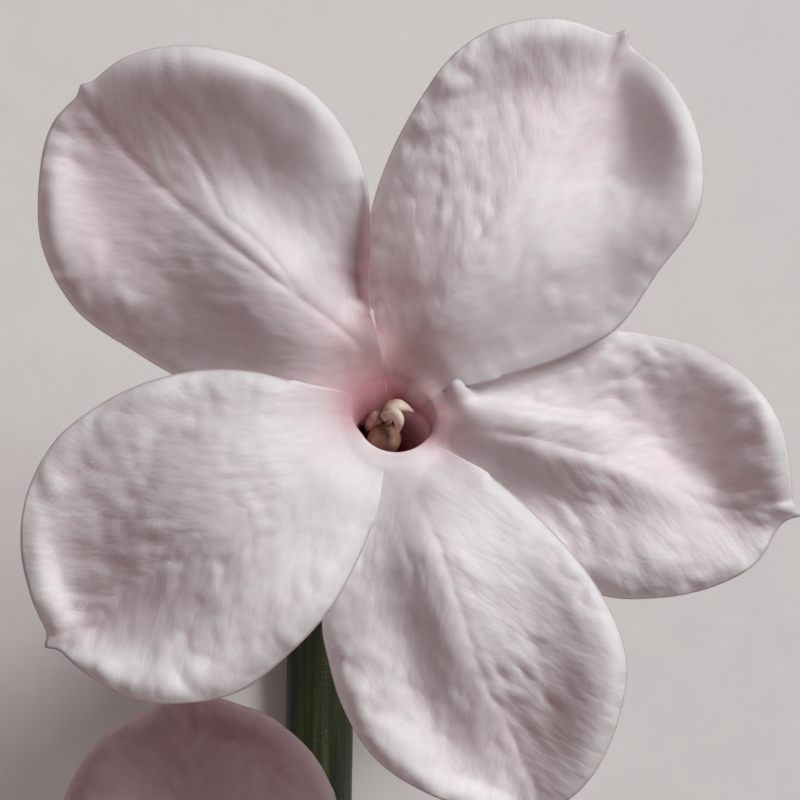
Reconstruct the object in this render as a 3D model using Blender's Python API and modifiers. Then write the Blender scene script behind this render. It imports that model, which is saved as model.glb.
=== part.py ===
"""Jasmine flower sprig: a picked sprig that lies on a surface, with its open blooms facing up.

Blender 4.5 script. Sizes are written in millimetres and turned into metres where meshes are made.
Places are written from the point under the main bloom's mouth, at the level of the surface. At the
end the whole sprig is moved by ORIGIN_SHIFT, so that the origin lies on the stem's flat underside.
The stem lies along -Y, and +Z is up.
"""

import math
from dataclasses import dataclass

import bmesh
import bpy
import numpy as np
from mathutils import Matrix, Vector

MM = 0.001

# From the point under the main bloom's mouth to the middle of the stem's underside
ORIGIN_SHIFT = (2.9, 25.0, 0.0)

# Petals and leaves
BLADE = 0.62
MOUTH_RADIUS = 1.25
LOBE_ROOT = 0.95
LOBE_ROWS = 11
LOBE_COLUMNS = 10
SEAM_ROWS = 2
BOWL_RISE = 1.0
LAP_LIFT = 0.34
RIM_LIFT = 0.42
RIM_INSET = 0.9
RIM_WIDTH = 0.8

# Corolla tube
TUBE_OUTER = 1.16
TUBE_INNER = 0.56
THROAT_DEPTH = 3.2
THROAT_INNER = 1.18
FLARE_OUTER = 1.9
FLARE_DEPTH = 0.72

# Anthers
ANTHER_RADIUS = 0.31
ANTHER_LENGTH = 1.4

# Calyx
CALYX_BELOW = 0.9
CALYX_HEIGHT = 3.2
CALYX_FLOOR = 0.66
CALYX_WALL = 0.62
CALYX_GAP = 0.22
TOOTH_LENGTH = 2.4
TOOTH_RADIUS = 0.34
SEAT_GAP = 0.25

# Stem
STEM_RADIUS = 1.1
STEM_FLAT = 0.12
PEDICEL_RADIUS = 0.62
PEDICEL_BEND = 1.6

# Leaves
LEAF_ROWS = 12
LEAF_COLUMNS = 6
PETIOLE_RADIUS = 0.5


@dataclass
class Lobe:
    """One lobe's outline, seen from in front: the notches it starts from, its two sides and its tip."""

    right_notch: tuple
    right: list
    tip: tuple
    left: list
    left_notch: tuple
    laps: tuple


@dataclass
class Fold:
    """A soft ridge (height over 0) or hollow (under 0) along a line on one lobe."""

    lobe: str
    start: tuple
    end: tuple
    width: float
    height: float


# The five places where neighbouring lobes part, from the mouth's centre.
NOTCH_EAST = (1.86, 1.05)
NOTCH_NORTH = (-0.60, 2.76)
NOTCH_WEST = (-1.47, 0.78)
NOTCH_SOUTH = (-0.39, -1.68)
NOTCH_SOUTHEAST = (1.35, -0.93)

# laps tells whether the right and the left side lie over (1) or under (-1) the neighbour.
LOBES = {
    "upper_left": Lobe(
        right_notch=NOTCH_NORTH,
        right=[(-0.87, 3.84), (-0.87, 5.49), (-0.90, 7.08), (-1.44, 8.49), (-2.64, 9.84),
               (-4.38, 10.74), (-6.33, 11.13), (-8.13, 10.80)],
        tip=(-9.36, 9.90),
        left=[(-3.48, 0.30), (-5.88, 0.90), (-7.98, 2.04), (-9.72, 3.30), (-10.71, 5.19),
              (-10.77, 7.29), (-10.38, 8.88)],
        left_notch=NOTCH_WEST,
        laps=(1, -1),
    ),
    "upper_right": Lobe(
        right_notch=NOTCH_EAST,
        right=[(3.27, 1.26), (4.92, 1.77), (6.63, 2.70), (7.86, 4.41), (8.91, 5.88),
               (9.15, 7.44), (8.82, 9.00), (7.98, 10.38)],
        tip=(6.78, 11.40),
        left=[(-0.81, 4.44), (-0.66, 6.24), (-0.24, 7.80), (0.57, 9.33), (1.68, 10.83),
              (3.12, 11.73), (4.92, 11.94)],
        left_notch=NOTCH_NORTH,
        laps=(1, -1),
    ),
    "right": Lobe(
        right_notch=NOTCH_SOUTHEAST,
        right=[(2.22, -2.07), (3.42, -3.36), (4.77, -4.68), (6.27, -5.37), (7.92, -5.43),
               (9.48, -5.13), (10.83, -4.41), (11.52, -3.36)],
        tip=(11.97, -2.85),
        left=[(3.12, 1.74), (4.62, 2.34), (6.27, 2.64), (7.77, 2.49), (9.27, 2.07),
              (10.56, 1.20), (11.43, 0.03), (11.82, -1.32)],
        left_notch=NOTCH_EAST,
        laps=(-1, -1),
    ),
    "bottom": Lobe(
        right_notch=NOTCH_SOUTH,
        right=[(-1.23, -3.06), (-1.89, -4.56), (-2.22, -6.06), (-2.04, -7.26), (-1.59, -8.70),
               (-0.72, -10.11), (0.57, -11.07), (2.37, -11.79)],
        tip=(4.47, -11.97),
        left=[(2.73, -1.68), (4.17, -2.88), (5.52, -4.35), (6.48, -5.91), (6.90, -7.35),
              (6.72, -8.76), (6.21, -10.17), (5.52, -11.16)],
        left_notch=NOTCH_SOUTHEAST,
        laps=(-1, 1),
    ),
    "lower_left": Lobe(
        right_notch=NOTCH_WEST,
        right=[(-2.88, 1.05), (-4.38, 1.41), (-6.03, 1.41), (-7.68, 0.99), (-9.03, 0.30),
               (-10.23, -0.69), (-11.04, -2.16), (-11.28, -3.81), (-10.98, -5.37)],
        tip=(-10.38, -6.78),
        left=[(-0.57, -2.67), (-1.05, -4.05), (-1.98, -5.73), (-3.33, -7.17), (-4.68, -8.16),
              (-6.18, -8.49), (-7.83, -8.40), (-9.33, -7.65)],
        left_notch=NOTCH_SOUTH,
        laps=(1, 1),
    ),
}

FOLDS = [
    Fold("upper_left", (-3.6, 8.9), (-6.6, 8.6), 1.5, -0.5),
    Fold("upper_left", (-2.2, 2.9), (-8.0, 7.4), 0.6, 0.3),
    Fold("upper_right", (7.4, 9.6), (7.9, 6.9), 0.8, -0.6),
    Fold("upper_right", (2.6, 4.0), (5.6, 8.6), 1.8, 0.4),
    Fold("right", (3.2, -1.1), (7.4, -2.0), 0.7, -0.6),
    Fold("right", (2.6, 0.3), (8.6, -1.9), 0.7, 0.3),
    Fold("right", (10.0, 0.2), (10.4, -1.6), 0.9, -0.5),
    Fold("bottom", (0.3, -3.6), (1.8, -8.6), 0.7, -0.6),
    Fold("bottom", (5.2, -7.2), (4.6, -9.4), 1.1, -0.4),
    Fold("lower_left", (-5.4, -4.0), (-8.8, -4.3), 1.7, -0.5),
]


@dataclass
class Bloom:
    """Where one open bloom stands: its mouth, turn, tilt and size, its tube's line and its joint."""

    name: str
    mouth: tuple
    turn: float
    tilt: tuple
    scale: float
    tube: list
    joint: tuple


# The stem's line, from its cut end to the joint from which the main bloom and the bud grow.
STEM_LINE = [(-6.0, -62.0), (-4.6, -46.0), (-3.0, -28.0), (-2.5, -5.0)]
TOP_JOINT = (-2.5, -5.0, 1.2)
LOW_JOINT = (-3.7, -38.0, 1.2)

MAIN = Bloom(
    name="main",
    mouth=(0.0, 0.0, 22.0),
    turn=0.0,
    tilt=(0.0, 0.0),
    scale=1.0,
    tube=[(-1.9, -2.9, 6.2), (-1.9, -2.6, 11.0), (-0.75, -1.15, 17.0), (0.0, 0.0, 22.0)],
    joint=TOP_JOINT,
)
SIDE = Bloom(
    name="side",
    mouth=(-6.3, -20.1, 12.6),
    turn=-121.5,
    tilt=(9.0, -5.0),
    scale=0.93,
    tube=[(-5.9, -31.6, 3.6), (-6.3, -27.0, 5.2), (-6.6, -21.4, 7.4), (-6.3, -20.1, 12.6)],
    joint=LOW_JOINT,
)
BUD_LINE = [(3.6, -4.6, 4.2), (4.8, -4.0, 6.8), (8.2, -1.8, 10.8), (9.6, -0.9, 15.8)]
BUD_TUBE = 0.78
BRACTS = [
    # joint, tip
    (TOP_JOINT, (0.6, -7.6, 1.5)),
    (TOP_JOINT, (-5.6, -7.2, 1.5)),
]

LEAFLETS = [
    # start, tip, half width
    ((8.5, 7.5), (24.5, 13.0), 4.6),
    ((7.6, 7.2), (11.0, 17.5), 2.9),
    ((7.4, 6.0), (17.0, 2.6), 2.9),
]


def clear_scene():
    for old in list(bpy.data.objects):
        bpy.data.objects.remove(old, do_unlink=True)


def new_collection(name, hidden=False):
    collection = bpy.data.collections.new(name)
    collection.hide_render = hidden
    bpy.context.scene.collection.children.link(collection)
    return collection


def material(name, colour, roughness):
    made = bpy.data.materials.new(name)
    made.use_nodes = True
    shader = made.node_tree.nodes["Principled BSDF"]
    shader.inputs["Base Color"].default_value = (*colour, 1.0)
    shader.inputs["Roughness"].default_value = roughness
    made.diffuse_color = (*colour, 1.0)
    return made


def smooth_line(points, steps=10):
    """A dense Catmull-Rom line through the points."""
    held = [points[0], *points, points[-1]]
    line = []
    for a, b, c, d in zip(held, held[1:], held[2:], held[3:]):
        a, b, c, d = (np.array(p, float) for p in (a, b, c, d))
        for k in range(steps):
            t = k / steps
            line.append(0.5 * (2 * b + (c - a) * t + (2 * a - 5 * b + 4 * c - d) * t**2
                               + (3 * b - a - 3 * c + d) * t**3))
    line.append(np.array(points[-1], float))
    return np.array(line)


def along(line, share):
    """The point at a share, 0 to 1, of a dense line's length."""
    lengths = np.concatenate([[0], np.cumsum(np.linalg.norm(np.diff(line, axis=0), axis=1))])
    return np.array([np.interp(share * lengths[-1], lengths, line[:, k]) for k in range(line.shape[1])])


def ease(low, high, value):
    t = min(max((value - low) / (high - low), 0.0), 1.0)
    return t * t * (3 - 2 * t)


def distance_to_segment(point, start, end):
    start, end = np.array(start), np.array(end)
    span = end - start
    share = np.clip(np.dot(point - start, span) / np.dot(span, span), 0, 1)
    return np.linalg.norm(point - start - share * span)


class LobeSurface:
    """The upper surface of one lobe, as a patch between the mouth, its two sides and its outer end."""

    corner = 0.62

    def __init__(self, name):
        lobe = LOBES[name]
        self.name = name
        self.lobe = lobe
        self.right = smooth_line([lobe.right_notch, *lobe.right, lobe.tip])
        self.left = smooth_line([lobe.left_notch, *lobe.left, lobe.tip])
        self.margin = np.concatenate([self.right, self.left[::-1]])

    def side(self, line, notch, u):
        """A side of the patch: first the seam from the mouth to the notch, then the free margin."""
        seam = SEAM_ROWS / LOBE_ROWS
        start = np.array(notch) / np.linalg.norm(notch) * LOBE_ROOT
        if u <= seam:
            return start + (np.array(notch) - start) * u / seam
        return along(line, self.corner * (u - seam) / (1 - seam))

    def outer_end(self, v):
        if v < 0.5:
            return along(self.right, self.corner + (1 - self.corner) * 2 * v)
        return along(self.left, 1 - (1 - self.corner) * (2 * v - 1))

    def mouth(self, v):
        first = math.atan2(self.lobe.right_notch[1], self.lobe.right_notch[0])
        last = math.atan2(self.lobe.left_notch[1], self.lobe.left_notch[0])
        angle = first + ((last - first) % (2 * math.pi)) * v
        return LOBE_ROOT * np.array([math.cos(angle), math.sin(angle)])

    def plan(self, u, v):
        right = self.side(self.right, self.lobe.right_notch, u)
        left = self.side(self.left, self.lobe.left_notch, u)
        corners = (
            (1 - u) * (1 - v) * self.mouth(0.0)
            + (1 - u) * v * self.mouth(1.0)
            + u * (1 - v) * self.outer_end(0.0)
            + u * v * self.outer_end(1.0)
        )
        return (1 - v) * right + v * left + (1 - u) * self.mouth(v) + u * self.outer_end(v) - corners

    def height(self, u, v, point):
        reach = np.linalg.norm(point)
        own = ease(1.6, 4.0, reach)
        inset = np.linalg.norm(self.margin - point, axis=1).min()
        rim = RIM_LIFT * math.exp(-(((inset - RIM_INSET) / RIM_WIDTH) ** 2))
        folds = sum(
            fold.height * math.exp(-((distance_to_segment(point, fold.start, fold.end) / fold.width) ** 2))
            for fold in FOLDS
            if fold.lobe == self.name
        )
        lap = LAP_LIFT * (self.lobe.laps[0] * ease(0.45, 0.0, v) + self.lobe.laps[1] * ease(0.55, 1.0, v))
        funnel = -0.7 * (1 - ease(0.9, 2.6, reach))
        return funnel + BOWL_RISE * (reach / 13) ** 2 + own * (rim + folds + lap * (1 - ease(0.6, 1.0, u)))


def object_from(bm, name, collection):
    mesh = bpy.data.meshes.new(name)
    bm.to_mesh(mesh)
    bm.free()
    made = bpy.data.objects.new(name, mesh)
    collection.objects.link(made)
    return made


def applied(obj):
    """Replaces the object's mesh by its evaluated mesh in world space, and drops its modifiers."""
    bpy.context.view_layer.update()
    graph = bpy.context.evaluated_depsgraph_get()
    mesh = bpy.data.meshes.new_from_object(obj.evaluated_get(graph))
    mesh.transform(obj.matrix_world)
    name = obj.name
    collection = obj.users_collection[0]
    bpy.data.objects.remove(obj, do_unlink=True)
    bm = bmesh.new()
    bm.from_mesh(mesh)
    bmesh.ops.remove_doubles(bm, verts=bm.verts, dist=0.002 * MM)
    bmesh.ops.recalc_face_normals(bm, faces=bm.faces)
    bpy.data.meshes.remove(mesh)
    return object_from(bm, name, collection)


def blade(name, rows, columns, place, collection, thickness=BLADE):
    """A leaf or petal: a grid laid by place(u, v), split into triangles and given its thickness."""
    bm = bmesh.new()
    bmesh.ops.create_grid(bm, x_segments=columns, y_segments=rows, size=0.5)
    for vertex in bm.verts:
        vertex.co = Vector(place(vertex.co.y + 0.5, vertex.co.x + 0.5)) * MM
    bmesh.ops.triangulate(bm, faces=bm.faces, quad_method="SHORT_EDGE")
    made = object_from(bm, name, collection)
    shell = made.modifiers.new("thickness", "SOLIDIFY")
    shell.thickness = thickness * MM
    shell.offset = 0
    shell.use_even_offset = False
    return applied(made)


def tube(name, points, radii, collection, sides=3, resolution=4):
    """A round tube along a smooth line, with a radius given at each point and closed ends."""
    curve = bpy.data.curves.new(name, "CURVE")
    curve.dimensions = "3D"
    curve.bevel_depth = 1.0 * MM
    curve.bevel_resolution = sides
    curve.resolution_u = resolution
    curve.use_fill_caps = True
    spline = curve.splines.new("BEZIER")
    spline.bezier_points.add(len(points) - 1)
    for knot, point, radius in zip(spline.bezier_points, points, radii):
        knot.co = Vector(point) * MM
        knot.radius = radius
        knot.handle_left_type = "AUTO"
        knot.handle_right_type = "AUTO"
    made = bpy.data.objects.new(name, curve)
    collection.objects.link(made)
    return applied(made)


def joined(name, first, others, operation, collection, finish, solver="EXACT"):
    """Joins or cuts the first solid with the others in one Boolean, and names and dresses the result."""
    group = bpy.data.collections.new(name + "_pieces")
    bpy.context.scene.collection.children.link(group)
    for piece in others:
        for holder in list(piece.users_collection):
            holder.objects.unlink(piece)
        group.objects.link(piece)
    boolean = first.modifiers.new("join", "BOOLEAN")
    boolean.operation = operation
    boolean.operand_type = "COLLECTION"
    boolean.collection = group
    boolean.solver = solver
    made = applied(first)
    for piece in others:
        bpy.data.objects.remove(piece, do_unlink=True)
    bpy.data.collections.remove(group)
    return finished(made, name, collection, finish)


def finished(made, name, collection, finish):
    made.name = name
    made.data.name = name
    for holder in list(made.users_collection):
        holder.objects.unlink(made)
    collection.objects.link(made)
    if finish:
        made.data.materials.clear()
        made.data.materials.append(finish)
    return made


def bezier_point(points, share):
    """A point and the direction at a share, 0 to 1, of a four-point curve."""
    a, b, c, d = (Vector(p) for p in points)
    s = 1 - share
    place = a * s**3 + b * 3 * s * s * share + c * 3 * s * share**2 + d * share**3
    heading = (b - a) * s * s + (c - b) * 2 * s * share + (d - c) * share**2
    return place, heading.normalized()


def lobe_frame(bloom):
    """Turns and tilts the lobes as the bloom stands, and moves them to its mouth."""
    tilt = Matrix.Rotation(math.radians(bloom.tilt[0]), 4, "X")
    tilt = tilt @ Matrix.Rotation(math.radians(bloom.tilt[1]), 4, "Y")
    turn = Matrix.Rotation(math.radians(bloom.turn), 4, "Z")
    return Matrix.Translation(bloom.mouth) @ tilt @ turn @ Matrix.Scale(bloom.scale, 4)


def tube_shape(bloom, inner, name, collection):
    """The outside of the bloom's tube, or the bore and throat inside it."""
    total = (Vector(bloom.mouth) - Vector(bloom.tube[0])).length
    top = 1.0 if inner else 1 - FLARE_DEPTH / total
    shares = [0.0, 0.25, 0.5, 1 - 1.5 * THROAT_DEPTH / total, 1 - THROAT_DEPTH / total, 0.92, top]
    outer_radii = [TUBE_OUTER] * 4 + [THROAT_INNER + BLADE - 0.06, THROAT_INNER + BLADE, FLARE_OUTER]
    inner_radii = [TUBE_INNER] * 4 + [THROAT_INNER - 0.08, THROAT_INNER, MOUTH_RADIUS]
    points = [bezier_point(bloom.tube, share)[0] for share in shares]
    radii = outer_radii
    if inner:
        radii = [*inner_radii, MOUTH_RADIUS]
        axis = bezier_point(bloom.tube, 1.0)[1]
        points[0] = points[0] - bezier_point(bloom.tube, 0.0)[1]
        points.append(points[-1] + axis * 2.5)
    return tube(name, points, radii, collection, sides=4, resolution=3)


def corolla(bloom, parts, work, finish):
    """The bloom's tube and its five lobes, with the throat kept open."""
    frame = lobe_frame(bloom)
    lobes = []
    for name in LOBES:
        surface = LobeSurface(name)

        def place(u, v):
            point = surface.plan(u, v)
            return frame @ Vector((point[0], point[1], surface.height(u, v, point)))

        lobes.append(blade(name, LOBE_ROWS, LOBE_COLUMNS, place, work))
    outer = tube_shape(bloom, False, "outer", work)
    whole = joined("whole", outer, lobes, "UNION", work, None)
    bore = tube_shape(bloom, True, "bore", work)
    return joined(bloom.name + "_corolla", whole, [bore], "DIFFERENCE", parts, finish)


def calyx_base(line):
    """The middle of the calyx's underside, and the direction in which its tube leaves."""
    start, heading = bezier_point(line, 0.0)
    return start - heading * CALYX_BELOW, heading


def calyx(name, line, tube_radius, parts, work, finish):
    """A cup round the start of a tube's line, with five narrow teeth."""
    base, heading = calyx_base(line)
    frame = Matrix.Translation(base) @ heading.to_track_quat("Z", "Y").to_matrix().to_4x4()
    inner = tube_radius + CALYX_GAP
    outer = inner + CALYX_WALL
    profile = [(0.0, 0.0), (0.8, 0.0), (outer - 0.4, 0.35), (outer, 1.1), (outer, CALYX_HEIGHT)]
    cup = turned("cup", profile, frame, work)
    hole = turned("hole", [(0.0, CALYX_FLOOR), (inner, CALYX_FLOOR), (inner, 2 * CALYX_HEIGHT)], frame, work)
    teeth = []
    for k in range(5):
        angle = math.radians(72 * k + 20)
        out = Vector((math.cos(angle), math.sin(angle), 0))
        knots = [
            frame @ (out * (outer - 0.15) + Vector((0, 0, CALYX_HEIGHT - 1.0))),
            frame @ (out * (outer - 0.05) + Vector((0, 0, CALYX_HEIGHT + 0.5))),
            frame @ (out * (outer + 0.45) + Vector((0, 0, CALYX_HEIGHT + TOOTH_LENGTH))),
        ]
        teeth.append(tube("tooth", knots, [TOOTH_RADIUS, TOOTH_RADIUS, TOOTH_RADIUS * 0.93], work, 1, 2))
    cup = joined("cup", cup, [hole], "DIFFERENCE", work, None)
    return joined(name, cup, teeth, "UNION", parts, finish)


def turned(name, profile, frame, collection, steps=16):
    """A closed turned solid from a profile of (radius, height) points, running bottom to top."""
    bm = bmesh.new()
    points = [*profile, (0.0, profile[-1][1])]
    vertices = [bm.verts.new((r * MM, 0, z * MM)) for r, z in points]
    for a, b in zip(vertices, vertices[1:]):
        bm.edges.new((a, b))
    bmesh.ops.spin(
        bm,
        geom=bm.verts[:] + bm.edges[:],
        cent=(0, 0, 0),
        axis=(0, 0, 1),
        angle=2 * math.pi,
        steps=steps,
        use_merge=True,
    )
    bmesh.ops.remove_doubles(bm, verts=bm.verts, dist=0.002 * MM)
    bmesh.ops.recalc_face_normals(bm, faces=bm.faces)
    place = frame.copy()
    place.translation = place.translation * MM
    bmesh.ops.transform(bm, matrix=place, verts=bm.verts)
    return object_from(bm, name, collection)


def in_throat(bloom, angle, radius, depth):
    """A place in the throat: its angle and distance round the tube's line, and its depth under the mouth."""
    length = (Vector(bloom.mouth) - Vector(bloom.tube[0])).length
    centre, heading = bezier_point(bloom.tube, 1 - depth / length)
    turned_angle = math.radians(angle + bloom.turn)
    return centre + Vector((math.cos(turned_angle), math.sin(turned_angle), 0)) * radius, heading


def pistil(bloom, parts, work, finish):
    """The style up the middle of the tube, with the forked stigma in the mouth."""
    line = [bezier_point(bloom.tube, share)[0] for share in (0.0, 0.25, 0.5, 0.68)]
    line.append(in_throat(bloom, 45, 0.30, 3.2)[0])
    line.append(in_throat(bloom, 45, 0.36, 2.0)[0])
    style = tube("style", line, [0.3] * len(line), work, 1, 3)
    forks = []
    for angle, reach in ((15, 0.72), (100, 0.66)):
        knots = [
            in_throat(bloom, 45, 0.36, 2.2)[0],
            in_throat(bloom, angle, reach, 1.6)[0],
            in_throat(bloom, angle, reach * 0.9, 1.0)[0],
        ]
        forks.append(tube("fork", knots, [0.3, 0.34, 0.3], work, 1, 2))
    return joined(bloom.name + "_pistil", style, forks, "UNION", parts, finish)


def anther(bloom, name, angle, radius, depth, parts, finish):
    """One anther: a long grain that stands in the throat."""
    centre, heading = in_throat(bloom, angle, radius, depth)
    bm = bmesh.new()
    bmesh.ops.create_uvsphere(bm, u_segments=10, v_segments=8, radius=MM)
    turn = heading.to_track_quat("Z", "Y").to_matrix().to_4x4()
    shape = Matrix.Diagonal((ANTHER_RADIUS, ANTHER_RADIUS, ANTHER_LENGTH / 2, 1.0))
    bmesh.ops.transform(bm, matrix=Matrix.Translation(centre * MM) @ turn @ shape, verts=bm.verts)
    made = object_from(bm, name, parts)
    return finished(made, bloom.name + "_" + name, parts, finish)


def bud(parts, work, finish):
    """The closed flower: a thin tube that swells into a pointed bud with five twisted folds."""
    line = BUD_LINE
    start = Vector(line[0])
    stations = [
        # share of the length, radius
        (0.00, 0.80), (0.18, 0.72), (0.40, 0.78), (0.55, 1.02), (0.66, 1.30),
        (0.78, 1.38), (0.88, 1.14), (0.95, 0.72), (1.00, 0.30),
    ]
    bm = bmesh.new()
    sides = 20
    bmesh.ops.create_cone(bm, cap_ends=True, segments=sides, radius1=1, radius2=1, depth=1)
    levels = len(stations) - 1
    long_edges = [edge for edge in bm.edges if abs(edge.verts[0].co.z - edge.verts[1].co.z) > 0.5]
    bmesh.ops.subdivide_edges(bm, edges=long_edges, cuts=levels - 1, use_grid_fill=True)
    for vertex in bm.verts:
        level = round((vertex.co.z + 0.5) * levels)
        share, radius = stations[level]
        place, heading = bezier_point(line, share)
        turn = heading.to_track_quat("Z", "Y")
        angle = math.atan2(vertex.co.y, vertex.co.x) + 1.4 * ease(0.45, 1.0, share)
        ribs = 1 + 0.09 * ease(0.4, 0.6, share) * math.cos(5 * math.atan2(vertex.co.y, vertex.co.x))
        across = Vector((math.cos(angle), math.sin(angle), 0)) * radius * ribs
        vertex.co = (place + turn @ across) * MM
    bmesh.ops.triangulate(bm, faces=bm.faces)
    bmesh.ops.recalc_face_normals(bm, faces=bm.faces)
    made = object_from(bm, "bud_corolla", work)
    return finished(made, "bud_corolla", parts, finish)


def stem(parts, work, finish):
    """The lying stem with its flat underside, the three pedicels and the bracts at the top joint."""
    knots = [(x, y, STEM_RADIUS - STEM_FLAT) for x, y in STEM_LINE]
    radii = [STEM_RADIUS * 1.02, STEM_RADIUS * 1.02, STEM_RADIUS, STEM_RADIUS]
    main = tube("main", knots, radii, work, 4, 5)
    pieces = []
    for joint, line in ((MAIN.joint, MAIN.tube), (SIDE.joint, SIDE.tube), (TOP_JOINT, BUD_LINE)):
        base, heading = calyx_base(line)
        end = base - heading * SEAT_GAP
        route = [joint, Vector(joint) + Vector((0, PEDICEL_BEND, 0)), end - heading * PEDICEL_BEND, end]
        knots = [bezier_point(route, share)[0] for share in (0, 0.3, 0.6, 0.88, 1.0)]
        radii = [0.95, PEDICEL_RADIUS, PEDICEL_RADIUS, 0.7, 0.74]
        pieces.append(tube("pedicel", knots, radii, work, 2, 3))
    for joint, tip in BRACTS:
        start = Vector(joint)
        middle = start.lerp(Vector(tip), 0.55) + Vector((0, 0, 0.35))
        pieces.append(tube("bract", [start, middle, tip], [0.5, 0.42, 0.31], work, 1, 2))
    whole = joined("whole", main, pieces, "UNION", work, None)
    floor = box("floor", (0, -32, -5.0), (80, 90, 10.0), work)
    return joined("stem", whole, [floor], "DIFFERENCE", parts, finish)


def box(name, centre, size, collection):
    bm = bmesh.new()
    bmesh.ops.create_cube(bm, size=1.0)
    place = Matrix.Translation(Vector(centre) * MM) @ Matrix.Diagonal((*(Vector(size) * MM), 1.0))
    bmesh.ops.transform(bm, matrix=place, verts=bm.verts)
    return object_from(bm, name, collection)


def leaf(side, parts, work, finish):
    """One leaf of three leaflets on a bent stalk. side is 1 for the right leaf and -1 for the left."""
    joint_x, joint_y, joint_z = LOW_JOINT
    root = Vector((joint_x + side * (STEM_RADIUS + PETIOLE_RADIUS + SEAT_GAP), joint_y, joint_z))

    def world(x, y, z):
        return Vector((joint_x + side * x, joint_y + y, z))

    stalk = [root, world(4.4, 3.0, 3.0), world(7.5, 6.4, 3.4), world(9.6, 8.0, 3.3)]
    whole = tube("stalk", stalk, [PETIOLE_RADIUS, 0.42, 0.4, 0.36], work, 1, 3)
    leaflets = []
    for start, tip, half_width in LEAFLETS:
        first, last = np.array(start), np.array(tip)
        span = last - first
        length = np.linalg.norm(span)
        across = np.array([-span[1], span[0]]) / length

        def place(u, v):
            width = half_width * (math.sin(math.pi * min(u + 0.015, 0.985) ** 0.82) ** 0.85 + 0.05)
            t = 2 * v - 1
            point = first + span * u + across * t * width
            droop = 3.2 * (1 - u**1.7) + 0.32 - 0.02 * u
            keel = 0.30 * half_width * abs(t) ** 1.5 * math.sin(math.pi * u) * 0.6
            wave = 0.22 * t * t * math.sin(9 * u + (2 if t > 0 else 0))
            return world(point[0], point[1], droop + keel + wave * math.sin(math.pi * u))

        leaflets.append(blade("leaflet", LEAF_ROWS, LEAF_COLUMNS, place, work))
    name = "leaf_right" if side > 0 else "leaf_left"
    return joined(name, whole, leaflets, "UNION", parts, finish)


def main():
    clear_scene()
    parts = new_collection("jasmine_sprig")
    work = new_collection("work")
    petal = material("petal", (0.80, 0.68, 0.73), 0.55)
    bud_pink = material("bud_petal", (0.62, 0.28, 0.38), 0.55)
    green = material("stem_green", (0.10, 0.16, 0.05), 0.5)
    calyx_green = material("calyx_green", (0.16, 0.20, 0.08), 0.55)
    leaf_green = material("leaf_green", (0.06, 0.15, 0.04), 0.45)
    cream = material("stigma_cream", (0.72, 0.62, 0.48), 0.5)
    tan = material("anther_tan", (0.36, 0.26, 0.13), 0.7)

    stem(parts, work, green)
    for bloom in (MAIN, SIDE):
        calyx(bloom.name + "_calyx", bloom.tube, TUBE_OUTER, parts, work, calyx_green)
        corolla(bloom, parts, work, petal)
        pistil(bloom, parts, work, cream)
        anther(bloom, "anther_low", 235, 0.5, 2.2, parts, tan)
        anther(bloom, "anther_high", 150, 0.7, 2.5, parts, tan)
    calyx("bud_calyx", BUD_LINE, BUD_TUBE, parts, work, calyx_green)
    bud(parts, work, bud_pink)
    leaf(1, parts, work, leaf_green)
    leaf(-1, parts, work, leaf_green)
    for piece in parts.objects:
        piece.data.transform(Matrix.Translation(Vector(ORIGIN_SHIFT) * MM))
    bpy.data.collections.remove(work)


main()
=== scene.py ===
"""The jasmine sprig dressed: a picked sprig lies on a pale surface with its open blooms facing up.

Sizes are in millimetres and turned into metres where meshes are made. Places are written from the
point under the main bloom's mouth, at the level of the surface, as in the part's own source, and
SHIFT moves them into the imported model's frame. Seen from above, +X is the photograph's right and +Y
is its top.
"""

import logging
import math
from collections.abc import Callable, Sequence
from dataclasses import dataclass, field
from enum import Enum
from typing import Any

import bmesh
import bpy
import numpy as np
from mathutils import Matrix, Quaternion, Vector, noise


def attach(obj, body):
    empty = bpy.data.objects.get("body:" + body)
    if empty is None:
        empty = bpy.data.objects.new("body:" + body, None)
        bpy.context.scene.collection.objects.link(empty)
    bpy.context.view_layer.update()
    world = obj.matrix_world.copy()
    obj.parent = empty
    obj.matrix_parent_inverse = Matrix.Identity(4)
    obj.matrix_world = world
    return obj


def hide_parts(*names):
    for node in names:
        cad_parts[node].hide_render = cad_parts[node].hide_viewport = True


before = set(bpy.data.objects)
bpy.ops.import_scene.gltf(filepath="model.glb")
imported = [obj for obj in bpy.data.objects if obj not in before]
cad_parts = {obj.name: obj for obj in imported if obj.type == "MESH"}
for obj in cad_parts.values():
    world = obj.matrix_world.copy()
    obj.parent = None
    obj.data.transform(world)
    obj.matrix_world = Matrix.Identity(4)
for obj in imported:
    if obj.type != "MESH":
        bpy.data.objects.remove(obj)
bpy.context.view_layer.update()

LOG = logging.getLogger("jasmine_sprig")
MM = 0.001
# From the point under the main bloom's mouth to the middle of the stem's underside
SHIFT = (2.9, 25.0, 0.0)
# Points closer than this are one point
WELD = 0.002
# The inset attribute where no free edge is near
FAR_INSIDE = 9.0
Flat = tuple[float, float]
Place = tuple[float, float, float]
Curve = tuple[Place, Place, Place, Place]


class Slot(Enum):
    """The record's material slots."""

    STEM = "stem_green"
    CALYX = "calyx_green"
    PETAL = "petal"
    STIGMA = "stigma_cream"
    ANTHER = "anther_tan"
    BUD = "bud_petal"
    LEAF = "leaf_green"


def colour(code: str) -> tuple[float, float, float, float]:
    """Turns an sRGB hex colour into a linear one.

    Args:
        code: six hex digits after a hash sign.

    Returns:
        Red, green, blue and an alpha of 1.
    """
    parts = [int(code[k : k + 2], 16) / 255 for k in (1, 3, 5)]
    linear = [p / 12.92 if p <= 0.04045 else ((p + 0.055) / 1.055) ** 2.4 for p in parts]
    return (linear[0], linear[1], linear[2], 1.0)


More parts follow.
